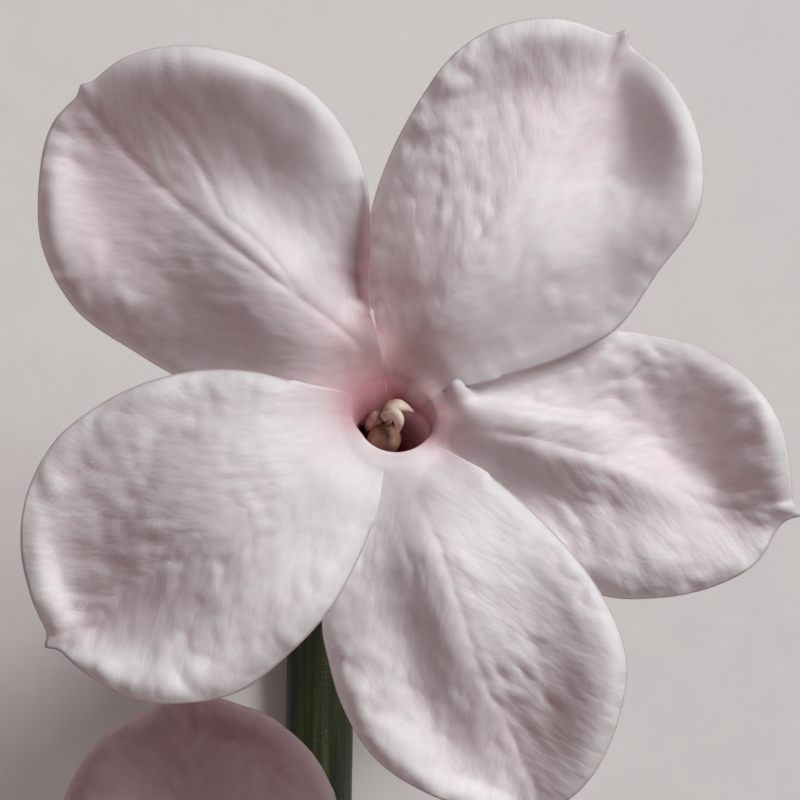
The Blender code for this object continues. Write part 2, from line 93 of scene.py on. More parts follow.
def ease(low: float, high: float, value: Any) -> Any:
    """A soft step from 0 at low to 1 at high, for a number or an array.

    Args:
        low: where the step starts; it may lie above high.
        high: where the step ends.
        value: the number or array to ease.

    Returns:
        The eased value, in the shape that came in.
    """
    t = np.clip((value - low) / (high - low), 0.0, 1.0)
    return t * t * (3 - 2 * t)


def facing(angle: Any, heading: float) -> Any:
    """How nearly an angle points along a heading in degrees: 1 along it and -1 away from it."""
    return np.cos(angle - math.radians(heading))


def hill(value: Any, width: Any) -> Any:
    """A soft hill: 1 where the value is 0, a third at one width and next to nothing at two."""
    return np.exp(-((value / width) ** 2))


def fading(value: Any, start: float, length: Any) -> Any:
    """1 up to start, and from there a soft fall, to a third over each length."""
    return np.exp(-np.maximum(value - start, 0) / length)


def smooth_line(points: Sequence[Sequence[float]], steps: int = 24) -> np.ndarray:
    """A dense Catmull-Rom line through the points.

    Args:
        points: the points, flat or in space.
        steps: how many short pieces go between two points.

    Returns:
        The line's points, one a row.
    """
    held = [points[0], *points, points[-1]]
    t = (np.arange(steps) / steps)[:, None]
    spans = []
    for a, b, c, d in zip(held, held[1:], held[2:], held[3:]):
        a, b, c, d = (np.array(p, float) for p in (a, b, c, d))
        spans.append(0.5 * (2 * b + (c - a) * t + (2 * a - 5 * b + 4 * c - d) * t**2
                            + (3 * b - a - 3 * c + d) * t**3))
    return np.concatenate([*spans, [np.array(points[-1], float)]])


def along(line: np.ndarray, shares: Any) -> np.ndarray:
    """The points at shares, 0 to 1, of a dense line's length.

    Args:
        line: the line's points, one a row.
        shares: a number or an array of numbers.

    Returns:
        One point for each share, with the coordinates last.
    """
    lengths = np.concatenate([[0], np.cumsum(np.linalg.norm(np.diff(line, axis=0), axis=1))])
    wanted = np.asarray(shares, float) * lengths[-1]
    return np.stack([np.interp(wanted, lengths, line[:, k]) for k in range(line.shape[1])], axis=-1)


def bezier(points: Sequence[Place], share: float) -> tuple[Vector, Vector]:
    """A point and the direction at a share of a four-point curve.

    Args:
        points: the curve's four points.
        share: 0 at the start and 1 at the end.

    Returns:
        The place and the unit direction there.
    """
    a, b, c, d = (Vector(p) for p in points)
    s = 1 - share
    place = a * s**3 + b * 3 * s * s * share + c * 3 * s * share**2 + d * share**3
    heading = (b - a) * s * s + (c - b) * 2 * s * share + (d - c) * share**2
    return place, heading.normalized()


def ripple(a: np.ndarray, b: np.ndarray, seed: float) -> np.ndarray:
    """Smooth noise, about -0.5 to 0.5, at flat coordinates.

    Args:
        a: first coordinates, one unit a bump.
        b: second coordinates.
        seed: another number gives another pattern.

    Returns:
        The noise, in the shape of a.
    """
    flat = [noise.noise(Vector((x, y, seed))) for x, y in zip(a.ravel().tolist(), b.ravel().tolist())]
    return np.array(flat).reshape(a.shape)


def add_node(
    tree: bpy.types.NodeTree,
    kind: str,
    values: dict[Any, Any] | None = None,
    links: dict[Any, Any] | None = None,
    **settings: Any,
) -> bpy.types.Node:
    """Adds a node to a tree.

    Args:
        tree: the material's node tree.
        kind: the node's type without its ShaderNode prefix.
        values: socket name or number to constant value.
        links: socket name or number to the output that feeds it.
        settings: the node's own settings.

    Returns:
        The node.
    """
    made = tree.nodes.new("ShaderNode" + kind)
    for name, value in settings.items():
        setattr(made, name, value)
    for socket, value in (values or {}).items():
        made.inputs[socket].default_value = value
    for socket, source in (links or {}).items():
        tree.links.new(source, made.inputs[socket])
    return made


def set_ramp(made: bpy.types.Node, stops: Sequence[tuple[float, str]]) -> bpy.types.NodeSocket:
    """Gives a ColorRamp node its stops.

    Args:
        made: the node.
        stops: position and hex colour of each stop, in order.

    Returns:
        The node's colour output.
    """
    elements = made.color_ramp.elements
    while len(elements) < len(stops):
        elements.new(0.5)
    for element, (position, code) in zip(elements, stops):
        element.position = position
        element.color = colour(code)
    return made.outputs["Color"]


@dataclass(frozen=True)
class Finish:
    """A material: its name and the shader settings that are the same all over it."""

    name: str
    roughness: float = 0.5
    ior: float = 1.45
    subsurface: float = 0.0
    glow_depth: float = 0.4
    sheen: float = 0.0

    def start(self) -> tuple[bpy.types.Material, bpy.types.NodeTree, bpy.types.Node]:
        """Makes the material with a plain shader.

        Returns:
            The material, its node tree and its shader node.
        """
        made = bpy.data.materials.new(self.name)
        made.use_nodes = True
        tree = made.node_tree
        shader = tree.nodes["Principled BSDF"]
        shader.inputs["Roughness"].default_value = self.roughness
        shader.inputs["IOR"].default_value = self.ior
        shader.inputs["Subsurface Weight"].default_value = self.subsurface
        shader.inputs["Subsurface Radius"].default_value = (1.0, 0.55, 0.5)
        shader.inputs["Subsurface Scale"].default_value = self.glow_depth * MM
        shader.inputs["Sheen Weight"].default_value = self.sheen
        shader.inputs["Sheen Roughness"].default_value = 0.6
        return made, tree, shader

    def dress(self, shader: bpy.types.Node, tone: Any, height: Any, depth: float, share: float = 1.0) -> None:
        """Gives the shader its colour and a fine relief.

        Args:
            shader: the material's shader node.
            tone: the output that holds the colour.
            height: the output that holds the relief's height.
            depth: the relief's depth in millimetres.
            share: how much of the relief shows.
        """
        tree = shader.id_data
        values = {"Strength": share, "Distance": depth * MM}
        relief = add_node(tree, "Bump", values, {"Height": height})
        tree.links.new(tone, shader.inputs["Base Color"])
        tree.links.new(relief.outputs["Normal"], shader.inputs["Normal"])


@dataclass(frozen=True)
class PetalFinish(Finish):
    """Jasmine petal, fresh: a soft matt skin, whitest at the margins, rose in the folds (partly painted
    shade) and the throat, with a painted glow deep in the tube.

    The piece carries four attributes. rose is how pink the place is, inset is its distance from
    the free edge in millimetres, vein runs across and along the veins in millimetres, and crepe
    is how far the skin is creased, from 0 in the throat to 1 on the blade.
    """

    margin: str = "#EEE9EB"
    blush: str = "#E6D7DA"
    rose: str = "#D0A6AC"
    throat: str = "#C98B95"
    # Deep in the tube the wall is painted pale: a painted glow of light shining through the thin wall.
    deep: str = "#FCDAE0"
    rim: str = "#C79A98"
    crease_depth: float = 0.028

    def make(self) -> bpy.types.Material:
        """Builds the petal's nodes.

        Returns:
            The material.
        """
        made, tree, shader = self.start()
        rose, inset, vein, crepe = (
            add_node(tree, "Attribute", attribute_name=name) for name in ("rose", "inset", "vein", "crepe")
        )
        place = vein.outputs["Vector"]
        # Creases about 0.2 mm wide and 0.6 mm long run with the veins.
        stretched = add_node(tree, "Mapping", {"Scale": (5.0, 1.7, 1.0)}, {"Vector": place})
        crease = add_node(
            tree, "TexNoise", {"Scale": 1.0, "Detail": 1.0, "Roughness": 0.4, "Distortion": 0.2},
            {"Vector": stretched.outputs["Vector"]},
        )
        # Faint blotches are about 2 mm wide.
        blotch = add_node(tree, "TexNoise", {"Scale": 0.45, "Detail": 2.0}, {"Vector": place})
        # The creases' crests are the whitest and their hollows pinker: partly the skin's own tint, partly
        # painted shade in the hollows.
        rose_and_crease_shade = add_node(
            tree, "Math", {1: -0.2}, {0: crease.outputs["Fac"], 2: rose.outputs["Fac"]},
            operation="MULTIPLY_ADD",
        )
        patched = add_node(
            tree, "Math", {1: 0.14}, {0: blotch.outputs["Fac"], 2: rose_and_crease_shade.outputs[0]},
            operation="MULTIPLY_ADD",
        )
        settled = add_node(tree, "Math", {1: 0.03}, {0: patched.outputs[0]}, operation="ADD")
        ramp = add_node(tree, "ValToRGB", links={"Fac": settled.outputs[0]})
        tint = set_ramp(
            ramp,
            [(0.0, self.margin), (0.22, self.blush), (0.55, self.rose), (0.8, self.throat), (1.0, self.deep)],
        )
        # The free edge shows as a line of brownish pink, about 0.05 mm wide.
        edge = add_node(
            tree, "MapRange", {"From Min": 0.0, "From Max": 0.07, "To Min": 0.75, "To Max": 0.0},
            {"Value": inset.outputs["Fac"]},
        )
        mixed = add_node(
            tree, "Mix", {"B": colour(self.rim)}, {"Factor": edge.outputs[0], "A": tint}, data_type="RGBA"
        )
        # Skin cells are too fine to show, so this grain is drawn four times as coarse, at 0.12 mm.
        grain = add_node(tree, "TexNoise", {"Scale": 8.0, "Detail": 1.0}, {"Vector": place})
        height = add_node(
            tree, "Math", {1: 0.12}, {0: grain.outputs["Fac"], 2: crease.outputs["Fac"]},
            operation="MULTIPLY_ADD",
        )
        painted_shade_petal = add_node(
            tree, "Math", links={0: height.outputs[0], 1: crepe.outputs["Fac"]}, operation="MULTIPLY"
        )
        self.dress(shader, mixed.outputs[2], painted_shade_petal.outputs[0], self.crease_depth)
        return made


@dataclass(frozen=True)
class SkinFinish(Finish):
    """Green skin of stem and calyx: waxy, a little streaked along the growth, browner where it is old."""

    # The stem's greens are partly its own dark green and partly painted shade, as the stem lies in the
    # blooms' shade.
    base: str = "#2A351B"
    dark: str = "#192110"
    light: str = "#48552F"
    tint: str = "#6B4A34"
    streaks: Place = (2.2, 0.12, 2.2)
    cut_at: float | None = None
    cut: str = "#C9CBA0"
    grain_depth: float = 0.07

    def make(self) -> bpy.types.Material:
        """Builds the skin's nodes.

        Returns:
            The material.
        """
        made, tree, shader = self.start()
        where = add_node(tree, "TexCoord").outputs["Object"]
        # One unit of the streak pattern is a millimetre across and several along the stem.
        scale = tuple(s / MM for s in self.streaks)
        stretched = add_node(tree, "Mapping", {"Scale": scale}, {"Vector": where})
        streak = add_node(
            tree, "TexNoise", {"Scale": 1.0, "Detail": 3.0, "Roughness": 0.6},
            {"Vector": stretched.outputs["Vector"]},
        )
        tone = set_ramp(
            add_node(tree, "ValToRGB", links={"Fac": streak.outputs["Fac"]}),
            [(0.3, self.dark), (0.5, self.base), (0.72, self.light)],
        )
        # Older, browner patches are about 5 mm wide.
        patch = add_node(tree, "TexNoise", {"Scale": 0.22 / MM, "Detail": 3.0}, {"Vector": where})
        older = add_node(
            tree, "MapRange", {"From Min": 0.52, "From Max": 0.72, "To Max": 0.6},
            {"Value": patch.outputs["Fac"]},
        )
        aged = add_node(
            tree, "Mix", {"B": colour(self.tint)}, {"Factor": older.outputs[0], "A": tone}, data_type="RGBA"
        )
        last = aged.outputs[2]
        if self.cut_at is not None:
            # The stem's cut end shows its pale pith.
            split = add_node(tree, "SeparateXYZ", links={0: where})
            inside = add_node(
                tree, "MapRange",
                {"From Min": (self.cut_at + 0.02) * MM, "From Max": (self.cut_at + 0.05) * MM,
                 "To Min": 1.0, "To Max": 0.0},
                {"Value": split.outputs["Y"]},
            )
            pith = add_node(
                tree, "Mix", {"B": colour(self.cut)}, {"Factor": inside.outputs[0], "A": last},
                data_type="RGBA",
            )
            last = pith.outputs[2]
        # The skin's own grain is 0.1 mm.
        fine = add_node(tree, "TexNoise", {"Scale": 9.0 / MM, "Detail": 2.0}, {"Vector": where})
        height = add_node(
            tree, "Math", {1: 0.3}, {0: fine.outputs["Fac"], 2: streak.outputs["Fac"]},
            operation="MULTIPLY_ADD",
        )
        self.dress(shader, last, height.outputs[0], self.grain_depth)
        return made


@dataclass(frozen=True)
class LeafFinish(Finish):
    """Jasmine leaf, fresh: a smooth waxy skin, dark above and paler below, with light veins.

    The piece carries two attributes. vein is how near a vein the place is, from 0 to 1, and under is
    1 on the lower side.
    """

    top: str = "#2F4A1E"
    top_light: str = "#4C6A2C"
    under: str = "#71875A"
    rib: str = "#8C9E62"
    net_depth: float = 0.05

    def make(self) -> bpy.types.Material:
        """Builds the leaf's nodes.

        Returns:
            The material.
        """
        made, tree, shader = self.start()
        where = add_node(tree, "TexCoord").outputs["Object"]
        vein = add_node(tree, "Attribute", attribute_name="vein")
        side = add_node(tree, "Attribute", attribute_name="under")
        # Darker and lighter patches are about 3 mm wide.
        patch = add_node(
            tree, "TexNoise", {"Scale": 0.35 / MM, "Detail": 4.0, "Roughness": 0.6}, {"Vector": where}
        )
        upper = set_ramp(
            add_node(tree, "ValToRGB", links={"Fac": patch.outputs["Fac"]}),
            [(0.35, self.top), (0.65, self.top_light)],
        )
        faced = add_node(
            tree, "Mix", {"B": colour(self.under)}, {"Factor": side.outputs["Fac"], "A": upper},
            data_type="RGBA",
        )
        ribbed = add_node(
            tree, "Mix", {"B": colour(self.rib)}, {"Factor": vein.outputs["Fac"], "A": faced.outputs[2]},
            data_type="RGBA",
        )
        # The net between the veins is about 0.5 mm wide.
        net = add_node(tree, "TexVoronoi", {"Scale": 1.8 / MM}, {"Vector": where}, feature="SMOOTH_F1")
        self.dress(shader, ribbed.outputs[2], net.outputs["Distance"], self.net_depth, 0.7)
        return made


@dataclass(frozen=True)
class GrainFinish(Finish):
    """Small moist or mealy flesh, for the stigma and the anthers: a speckled tone with a fine grain."""

    dark: str = "#B89A80"
    light: str = "#E6D6C2"
    grain_size: float = 0.12
    grain_depth: float = 0.02

    def make(self) -> bpy.types.Material:
        """Builds the nodes.

        Returns:
            The material.
        """
        made, tree, shader = self.start()
        where = add_node(tree, "TexCoord").outputs["Object"]
        # Darker and lighter places are about 0.6 mm wide.
        cloud = add_node(tree, "TexNoise", {"Scale": 1.6 / MM, "Detail": 3.0}, {"Vector": where})
        tone = set_ramp(
            add_node(tree, "ValToRGB", links={"Fac": cloud.outputs["Fac"]}),
            [(0.35, self.dark), (0.6, self.light)],
        )
        grain = add_node(
            tree, "TexNoise", {"Scale": 1 / self.grain_size / MM, "Detail": 1.0}, {"Vector": where}
        )
        self.dress(shader, tone, grain.outputs["Fac"], self.grain_depth)
        return made


def petal_marks(bm: bmesh.types.BMesh) -> dict[str, Any]:
    """Adds the four attributes that a petal's finish reads.

    Args:
        bm: the petal's mesh.

    Returns:
        Each attribute's layer, by its name.
    """
    layers = {name: bm.verts.layers.float.new(name) for name in ("rose", "inset", "crepe")}
    layers["vein"] = bm.verts.layers.float_vector.new("vein")
    return layers


def finish_piece(
    bm: bmesh.types.BMesh, name: str, nodes: Sequence[str], finish: bpy.types.Material
) -> bpy.types.Object:
    """Turns a mesh into a piece of the sprig that stands for its solids.

    Args:
        bm: the mesh, in millimetres from the point under the main mouth; it is freed.
        name: the piece's name.
        nodes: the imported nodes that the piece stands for.
        finish: its material.

    Returns:
        The piece, at the origin, with its place in its mesh.
    """
    place = Matrix.Scale(MM, 4) @ Matrix.Translation(SHIFT)
    bmesh.ops.transform(bm, matrix=place, verts=bm.verts)
    for face in bm.faces:
        face.smooth = True
    mesh = bpy.data.meshes.new(name)
    bm.to_mesh(mesh)
    bm.free()
    mesh.materials.append(finish)
    piece = bpy.data.objects.new(name, mesh)
    bpy.context.scene.collection.objects.link(piece)
    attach(piece, "root")
    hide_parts(*nodes)
    return piece


def thicken(piece: bpy.types.Object, thickness: float, offset: float = 0.0, group: str = "") -> None:
    """Gives a sheet its thickness.

    Args:
        piece: the sheet.
        thickness: in millimetres.
        offset: 0 keeps the sheet in the middle, and -1 on top.
        group: the points' group whose weights thin the sheet, or none.
    """
    shell = piece.modifiers.new("thickness", "SOLIDIFY")
    shell.thickness = thickness * MM
    shell.offset = offset
    shell.use_even_offset = False
    shell.use_rim = True
    shell.vertex_group = group


def swept(
    bm: bmesh.types.BMesh,
    line: np.ndarray,
    radius: Callable[[float, float], float],
    levels: int,
    sides: int,
    marks: dict[str, float] | None = None,
) -> None:
    """Adds a closed round body along a line, from a cone whose sides are cut into levels.

    Args:
        bm: the mesh to add to.
        line: a dense line of points in space, one a row.
        radius: gives the radius at a share of the length and an angle.
        levels: how many rows of faces there are.
        sides: how many faces go round.
        marks: values of the mesh's own attributes that the whole body takes.
    """
    own = bmesh.new()
    made = bmesh.ops.create_cone(own, cap_ends=True, segments=sides, radius1=1, radius2=1, depth=1)["verts"]
    long_edges = {e for v in made for e in v.link_edges if abs(e.verts[0].co.z - e.verts[1].co.z) > 0.5}
    bmesh.ops.subdivide_edges(own, edges=list(long_edges), cuts=levels - 1, use_grid_fill=True)
    shares = np.arange(levels + 1) / levels
    places = [Vector(p) for p in along(line, shares)]
    # The way a level faces is read from just before it to just after it.
    near = 0.01
    ahead = [Vector(p) for p in along(line, np.minimum(shares + near, 1.0))]
    behind = [Vector(p) for p in along(line, np.maximum(shares - near, 0.0))]
    turn = (ahead[0] - behind[0]).to_track_quat("Z", "X")
    turns = []
    for a, b in zip(ahead, behind):
        turn = (turn @ Vector((0, 0, 1))).rotation_difference(a - b) @ turn
        turns.append(turn)
    layers = {own.verts.layers.float.new(name): value for name, value in (marks or {}).items()}
    for vertex in own.verts:
        level = round((vertex.co.z + 0.5) * levels)
        angle = math.atan2(vertex.co.y, vertex.co.x)
        reach = radius(float(shares[level]), angle)
        out = Vector((math.cos(angle), math.sin(angle), 0)) * reach
        vertex.co = places[level] + turns[level] @ out
        for layer, value in layers.items():
            vertex[layer] = value
    mesh = bpy.data.meshes.new("body")
    own.to_mesh(mesh)
    own.free()
    bm.from_mesh(mesh)
    bpy.data.meshes.remove(mesh)


@dataclass(frozen=True)
class Ridge:
    """A ridge (height over 0) or hollow (under 0) along a line on a lobe, in millimetres.

    right and left are its flanks' widths, seen along the line.
    """

    line: tuple[Flat, ...]
    height: float
    right: float
    left: float

    def heights(self, plan: np.ndarray) -> np.ndarray:
        """The ridge's height over each point of a plan.

        Args:
            plan: points, with the two coordinates last.

        Returns:
            One height for each point.
        """
        nearest = np.full(plan.shape[:-1], 1e9)
        width = np.zeros(plan.shape[:-1])
        for start, end in zip(self.line, self.line[1:]):
            start, end = np.array(start), np.array(end)
            span = end - start
            share = np.clip(((plan - start) @ span) / (span @ span), 0, 1)
            away = plan - start - share[..., None] * span
            distance = np.linalg.norm(away, axis=-1)
            side = (span[0] * away[..., 1] - span[1] * away[..., 0]) / np.linalg.norm(span)
            lean = 0.5 + 0.5 * side / np.maximum(distance, 1e-6)
            here = self.right + (self.left - self.right) * lean
            closer = distance < nearest
            nearest = np.where(closer, distance, nearest)
            width = np.where(closer, here, width)
        return self.height * hill(nearest, width)


@dataclass(frozen=True)
class Lobe:
    """One lobe of a bloom, seen from in front.

    The outline runs from the right notch up the right side to the tip and back down the left side.
    laps tells whether the right and the left side lie over (1) or under (-1) the neighbour. rim
    gives, at shares of that outline, the raised rim's height and the width of its inner slope. lean
    is how far the whole lobe tips, as its rise for each millimetre along X and Y. nib is how far the
    small point stands out, groove is the midrib's depth, and crepe is how strongly the blade is
    creased. calm is the side of the midrib that is creased less (1 left, -1 right). corner is a
    lifted corner of the base, as its place and height. upturn is a stretch of the outline whose edge
    is turned up, or down where its height is under 0, as its start, its end, its height and its
    width.
    """

    name: str
    right_notch: Flat
    right: tuple[Flat, ...]
    tip: Flat
    left: tuple[Flat, ...]
    left_notch: Flat
    laps: Flat
    rim: tuple[tuple[float, float, float], ...]
    lean: Flat
    midrib: tuple[Flat, ...]
    ridges: tuple[Ridge, ...]
    nib: float = 0.18
    groove: float = 0.0
    crepe: float = 1.0
    calm: int = 0
    corner: tuple[float, float, float] | None = None
    upturn: tuple[float, float, float, float] | None = None


# The five places where neighbouring lobes part, from the mouth's centre
NOTCH_EAST = (1.47, 0.84)
NOTCH_NORTH = (-0.60, 2.76)
NOTCH_WEST = (-1.47, 0.78)
NOTCH_SOUTH = (-0.39, -1.68)
NOTCH_SOUTHEAST = (1.35, -0.93)

# Outlines and midribs were read off. Nearly all values of rim, lean and ridges were set outside this file, by
# a least-squares fit of plain shading to the photograph's light and shade, and then rounded.
LOBES = (
    Lobe(
        name="upper_left",
        right_notch=NOTCH_NORTH,
        right=((-0.83, 3.84), (-0.75, 5.40), (-0.88, 7.08), (-1.44, 8.49), (-2.64, 9.84),
               (-4.38, 10.74), (-6.33, 11.13), (-8.13, 10.80)),
        tip=(-9.36, 9.90),
        left=((-3.48, 0.30), (-5.88, 0.90), (-7.98, 2.04), (-9.72, 3.30), (-10.71, 5.19),
              (-10.77, 7.29), (-10.38, 8.88)),
        left_notch=NOTCH_WEST,
        laps=(1, -1),
        rim=((0.00, 0.00, 1.36), (0.06, 0.15, 1.40), (0.13, 1.05, 1.75), (0.30, 1.30, 1.06),
             (0.45, 0.87, 1.75), (0.52, 0.06, 0.45), (0.62, 0.38, 0.45), (0.75, -0.40, 0.72),
             (1.00, -0.40, 1.09)),
        lean=(0.2, -0.048),
        midrib=((-1.1, 2.2), (-2.9, 3.6), (-5.1, 5.3), (-6.9, 6.8), (-8.2, 8.1), (-9.1, 9.2)),
        groove=0.1,
        crepe=0.65,
        upturn=(-1.2, 5.2, 0.45, 0.18),
        calm=-1,
        ridges=(
            Ridge(
                ((-7.3, 9.5), (-6.4, 8.5), (-5.7, 7.3), (-5.1, 6.0), (-4.1, 5.2), (-3.0, 3.9)),
                -0.07, 0.12, 0.12,
            ),
            Ridge(((-0.7, 1.4), (-4.9, 5.4)), 1.14, 1.02, 2.33),
            Ridge(((-4.0, 3.6), (-3.0, 4.7)), 1.20, 1.49, 2.42),
            Ridge(((-4.4, -1.0), (-7.6, 3.3)), 0.78, 2.06, 1.16),
            Ridge(((-1.18, 3.7), (-1.08, 7.8)), -0.79, 0.69, 1.61),
            Ridge(((-11.2, 8.9), (-8.7, 3.1)), 0.27, 0.70, 0.78),
            Ridge(((-3.8, 9.7), (-3.0, 9.1)), -0.26, 0.69, 0.59),
            Ridge(((-5.7, 9.9), (2.0, 6.1)), 1.20, 2.79, 3.32),
            Ridge(((-5.4, -0.6), (0.7, 2.7)), 0.38, 0.68, 0.89),
            Ridge(((-6.6, 3.2), (-7.1, 3.3)), -0.14, 1.34, 0.49),
        ),
    ),
    Lobe(
        name="upper_right",
        right_notch=NOTCH_EAST,
        right=((2.34, 1.02), (3.27, 1.26), (4.92, 1.77), (6.63, 2.70), (7.86, 4.41), (8.91, 5.88),
               (9.15, 7.44), (8.82, 9.00), (7.98, 10.38)),
        tip=(6.78, 11.40),
        left=((-1.00, 4.44), (-0.76, 6.24), (-0.24, 7.80), (0.57, 9.33), (1.68, 10.83),
              (3.12, 11.73), (4.92, 11.94)),
        left_notch=NOTCH_NORTH,
        laps=(1, -1),
        rim=((0.00, -0.04, 0.45), (0.20, -0.40, 0.82), (0.33, 1.30, 1.75), (0.45, 0.57, 0.79),
             (0.50, -0.30, 1.18), (0.58, 1.30, 1.24), (0.72, 1.10, 1.19), (0.93, -0.55, 1.5),
             (1.00, -0.75, 1.40)),
        lean=(0.082, -0.117),
        nib=0.27,
        midrib=((0.9, 2.4), (1.8, 4.6), (3.9, 7.8), (6.4, 11.0)),
        crepe=1.25,
        upturn=(25.7, 32.2, -0.12, 0.3),
        calm=-1,
        ridges=(
            Ridge(((0.66, 7.2), (0.66, 4.2)), 0.08, 0.28, 0.28),
            Ridge(((1.4, -0.2), (0.6, 7.6)), 1.20, 1.20, 1.24),
            Ridge(((6.5, 10.3), (6.1, 7.2)), -1.20, 1.85, 1.06),
            Ridge(((-2.3, 10.0), (-0.4, 7.4)), -1.20, 3.32, 1.60),
            Ridge(((-1.3, 8.4), (6.7, 2.4)), 0.16, 1.23, 2.69),
            Ridge(((7.4, 8.4), (7.4, 7.2)), -1.12, 0.97, 1.28),
            Ridge(((1.1, 3.8), (0.8, 7.8)), -0.67, 0.89, 0.87),
            Ridge(((3.2, 4.3), (7.0, 6.9)), 1.20, 1.75, 3.09),
            Ridge(((1.7, 0.6), (1.3, 1.4)), 1.20, 0.48, 1.33),
            Ridge(((6.8, 8.7), (8.3, 8.7)), 0.29, 0.63, 0.72),
        ),
    ),
    Lobe(
        name="right",
        right_notch=NOTCH_SOUTHEAST,
        right=((2.22, -2.07), (3.42, -3.36), (4.77, -4.68), (6.27, -5.37), (7.92, -5.43),
               (9.48, -5.13), (10.83, -4.41), (11.52, -3.36)),
        tip=(11.97, -2.85),
        left=((1.86, 1.14), (3.12, 1.74), (4.62, 2.34), (6.27, 2.64), (7.77, 2.49), (9.27, 2.07),
              (10.56, 1.20), (11.43, 0.03), (11.82, -1.32)),
        left_notch=NOTCH_EAST,
        laps=(-1, -1),
        rim=((0.00, -0.40, 1.75), (0.15, 1.02, 1.75), (0.35, -0.23, 0.88), (0.46, -0.40, 0.88),
             (0.54, 0.28, 1.24), (0.64, 0.47, 0.76), (0.78, 0.18, 0.94), (0.90, 0.29, 0.45),
             (1.00, 0.82, 0.45)),
        lean=(-0.121, 0.173),
        midrib=((1.8, -0.2), (4.2, -0.6), (6.6, -1.3), (9.2, -2.6), (11.4, -2.9)),
        groove=0.06,
        crepe=1.15,
        corner=(1.88, 1.0, 0.4),
        ridges=(
            Ridge(((2.2, 0.3), (5.6, -0.2)), 0.89, 1.35, 0.18),
            Ridge(((4.3, -1.1), (8.9, -2.3)), 0.51, 0.82, 0.62),
            Ridge(((1.3, -0.1), (6.3, -5.1)), -0.50, 0.58, 1.29),
            Ridge(((8.1, -0.7), (10.3, -3.3)), -0.68, 0.90, 1.53),
            Ridge(((6.9, -4.5), (7.8, -4.3)), 1.16, 1.31, 1.50),
            Ridge(((2.3, 0.8), (1.7, 1.4)), -1.20, 1.23, 0.26),
            Ridge(((0.2, 0.9), (1.8, -0.5)), 1.20, 0.17, 1.90),
            Ridge(((11.2, -0.5), (10.8, -4.5)), 1.02, 1.58, 1.81),
        ),
        nib=0.3,
    ),
    Lobe(
        name="bottom",
        right_notch=NOTCH_SOUTH,
        right=((-1.23, -3.06), (-1.89, -4.56), (-2.22, -6.06), (-2.04, -7.26), (-1.59, -8.70),
               (-0.72, -10.11), (0.57, -11.07), (2.37, -11.79)),
        tip=(4.47, -11.97),
        left=((2.73, -1.68), (4.17, -2.88), (5.52, -4.35), (6.48, -5.91), (6.90, -7.35),
              (6.72, -8.76), (6.21, -10.17), (5.52, -11.16)),
        left_notch=NOTCH_SOUTHEAST,
        laps=(-1, 1),
        rim=((0.00, -0.34, 0.69), (0.15, -0.09, 0.45), (0.30, 0.18, 0.86), (0.42, 0.64, 1.12),
             (0.50, 0.48, 0.96), (0.60, 1.00, 1.07), (0.72, 1.30, 1.75), (0.85, 0.16, 1.09),
             (1.00, -0.40, 0.69)),
        lean=(0.014, 0.155),
        midrib=((0.4, -1.9), (1.38, -4.0), (2.46, -7.4), (3.66, -9.8), (4.3, -11.6)),
        groove=0.05,
        crepe=1.0,
        ridges=(
            Ridge(((1.2, -0.7), (1.0, -3.7)), 0.73, 0.96, 1.82),
            Ridge(((1.7, -5.8), (2.7, -9.4)), 0.78, 1.12, 3.30),
            Ridge(((0.4, -6.6), (0.5, -8.5)), -0.28, 1.52, 0.77),
            Ridge(((1.9, -10.7), (3.5, -11.3)), -0.73, 0.54, 1.35),
            Ridge(((5.0, -6.7), (3.9, -9.1)), -0.58, 1.84, 1.57),
            Ridge(((-1.9, -4.7), (4.6, -7.2)), 0.95, 2.12, 2.95),
            Ridge(((-1.1, -7.3), (-0.8, -8.9)), 0.55, 0.89, 2.54),
            Ridge(((1.1, -1.8), (2.0, -0.4)), 0.72, 0.64, 0.22),
            Ridge(((-0.6, -8.4), (0.3, -10.6)), 0.86, 1.95, 1.59),
        ),
    ),
    Lobe(
        name="lower_left",
        right_notch=NOTCH_WEST,
        right=((-2.88, 1.05), (-4.38, 1.41), (-6.03, 1.41), (-7.68, 0.99), (-9.03, 0.30),
               (-10.23, -0.69), (-11.04, -2.16), (-11.28, -3.81), (-10.98, -5.37)),
        tip=(-10.38, -6.78),
        left=((-0.57, -2.67), (-1.05, -4.05), (-1.98, -5.73), (-3.33, -7.17), (-4.68, -8.16),
              (-6.18, -8.49), (-7.83, -8.40), (-9.33, -7.65)),
        left_notch=NOTCH_SOUTH,
        laps=(1, 1),
        rim=((0.00, -0.09, 1.75), (0.20, 0.06, 1.61), (0.36, -0.21, 0.45), (0.48, 1.00, 0.45),
             (0.53, -0.15, 0.45), (0.65, 1.30, 0.92), (0.78, 0.06, 1.65), (0.90, 0.84, 0.88),
             (1.00, 1.20, 1.55)),
        lean=(0.01, 0.103),
        midrib=((-1.4, -0.6), (-4.2, -2.1), (-7.2, -4.2), (-9.9, -6.5)),
        crepe=1.15,
        ridges=(
            Ridge(((-2.1, -0.4), (-4.2, -3.0)), 1.18, 3.30, 1.88),
            Ridge(((-5.5, -1.4), (-7.3, -3.0)), 0.75, 1.16, 2.65),
            Ridge(((-10.6, -6.5), (-11.2, -5.3)), -1.19, 2.85, 1.16),
            Ridge(((-3.5, -6.6), (-4.9, -6.9)), 1.19, 2.81, 3.21),
            Ridge(((-0.8, -3.1), (-0.1, -3.4)), -0.72, 2.01, 0.94),
            Ridge(((-5.1, -8.3), (-8.7, -1.9)), -0.24, 1.37, 1.47),
            Ridge(((-6.3, 2.4), (-8.9, -1.8)), 0.15, 0.60, 0.53),
            Ridge(((-8.9, -7.5), (-9.8, -7.3)), 0.47, 0.28, 0.98),
            Ridge(((-1.8, -1.1), (-1.9, -0.8)), 1.08, 0.90, 0.90),
        ),
        nib=0.25,
    ),
)


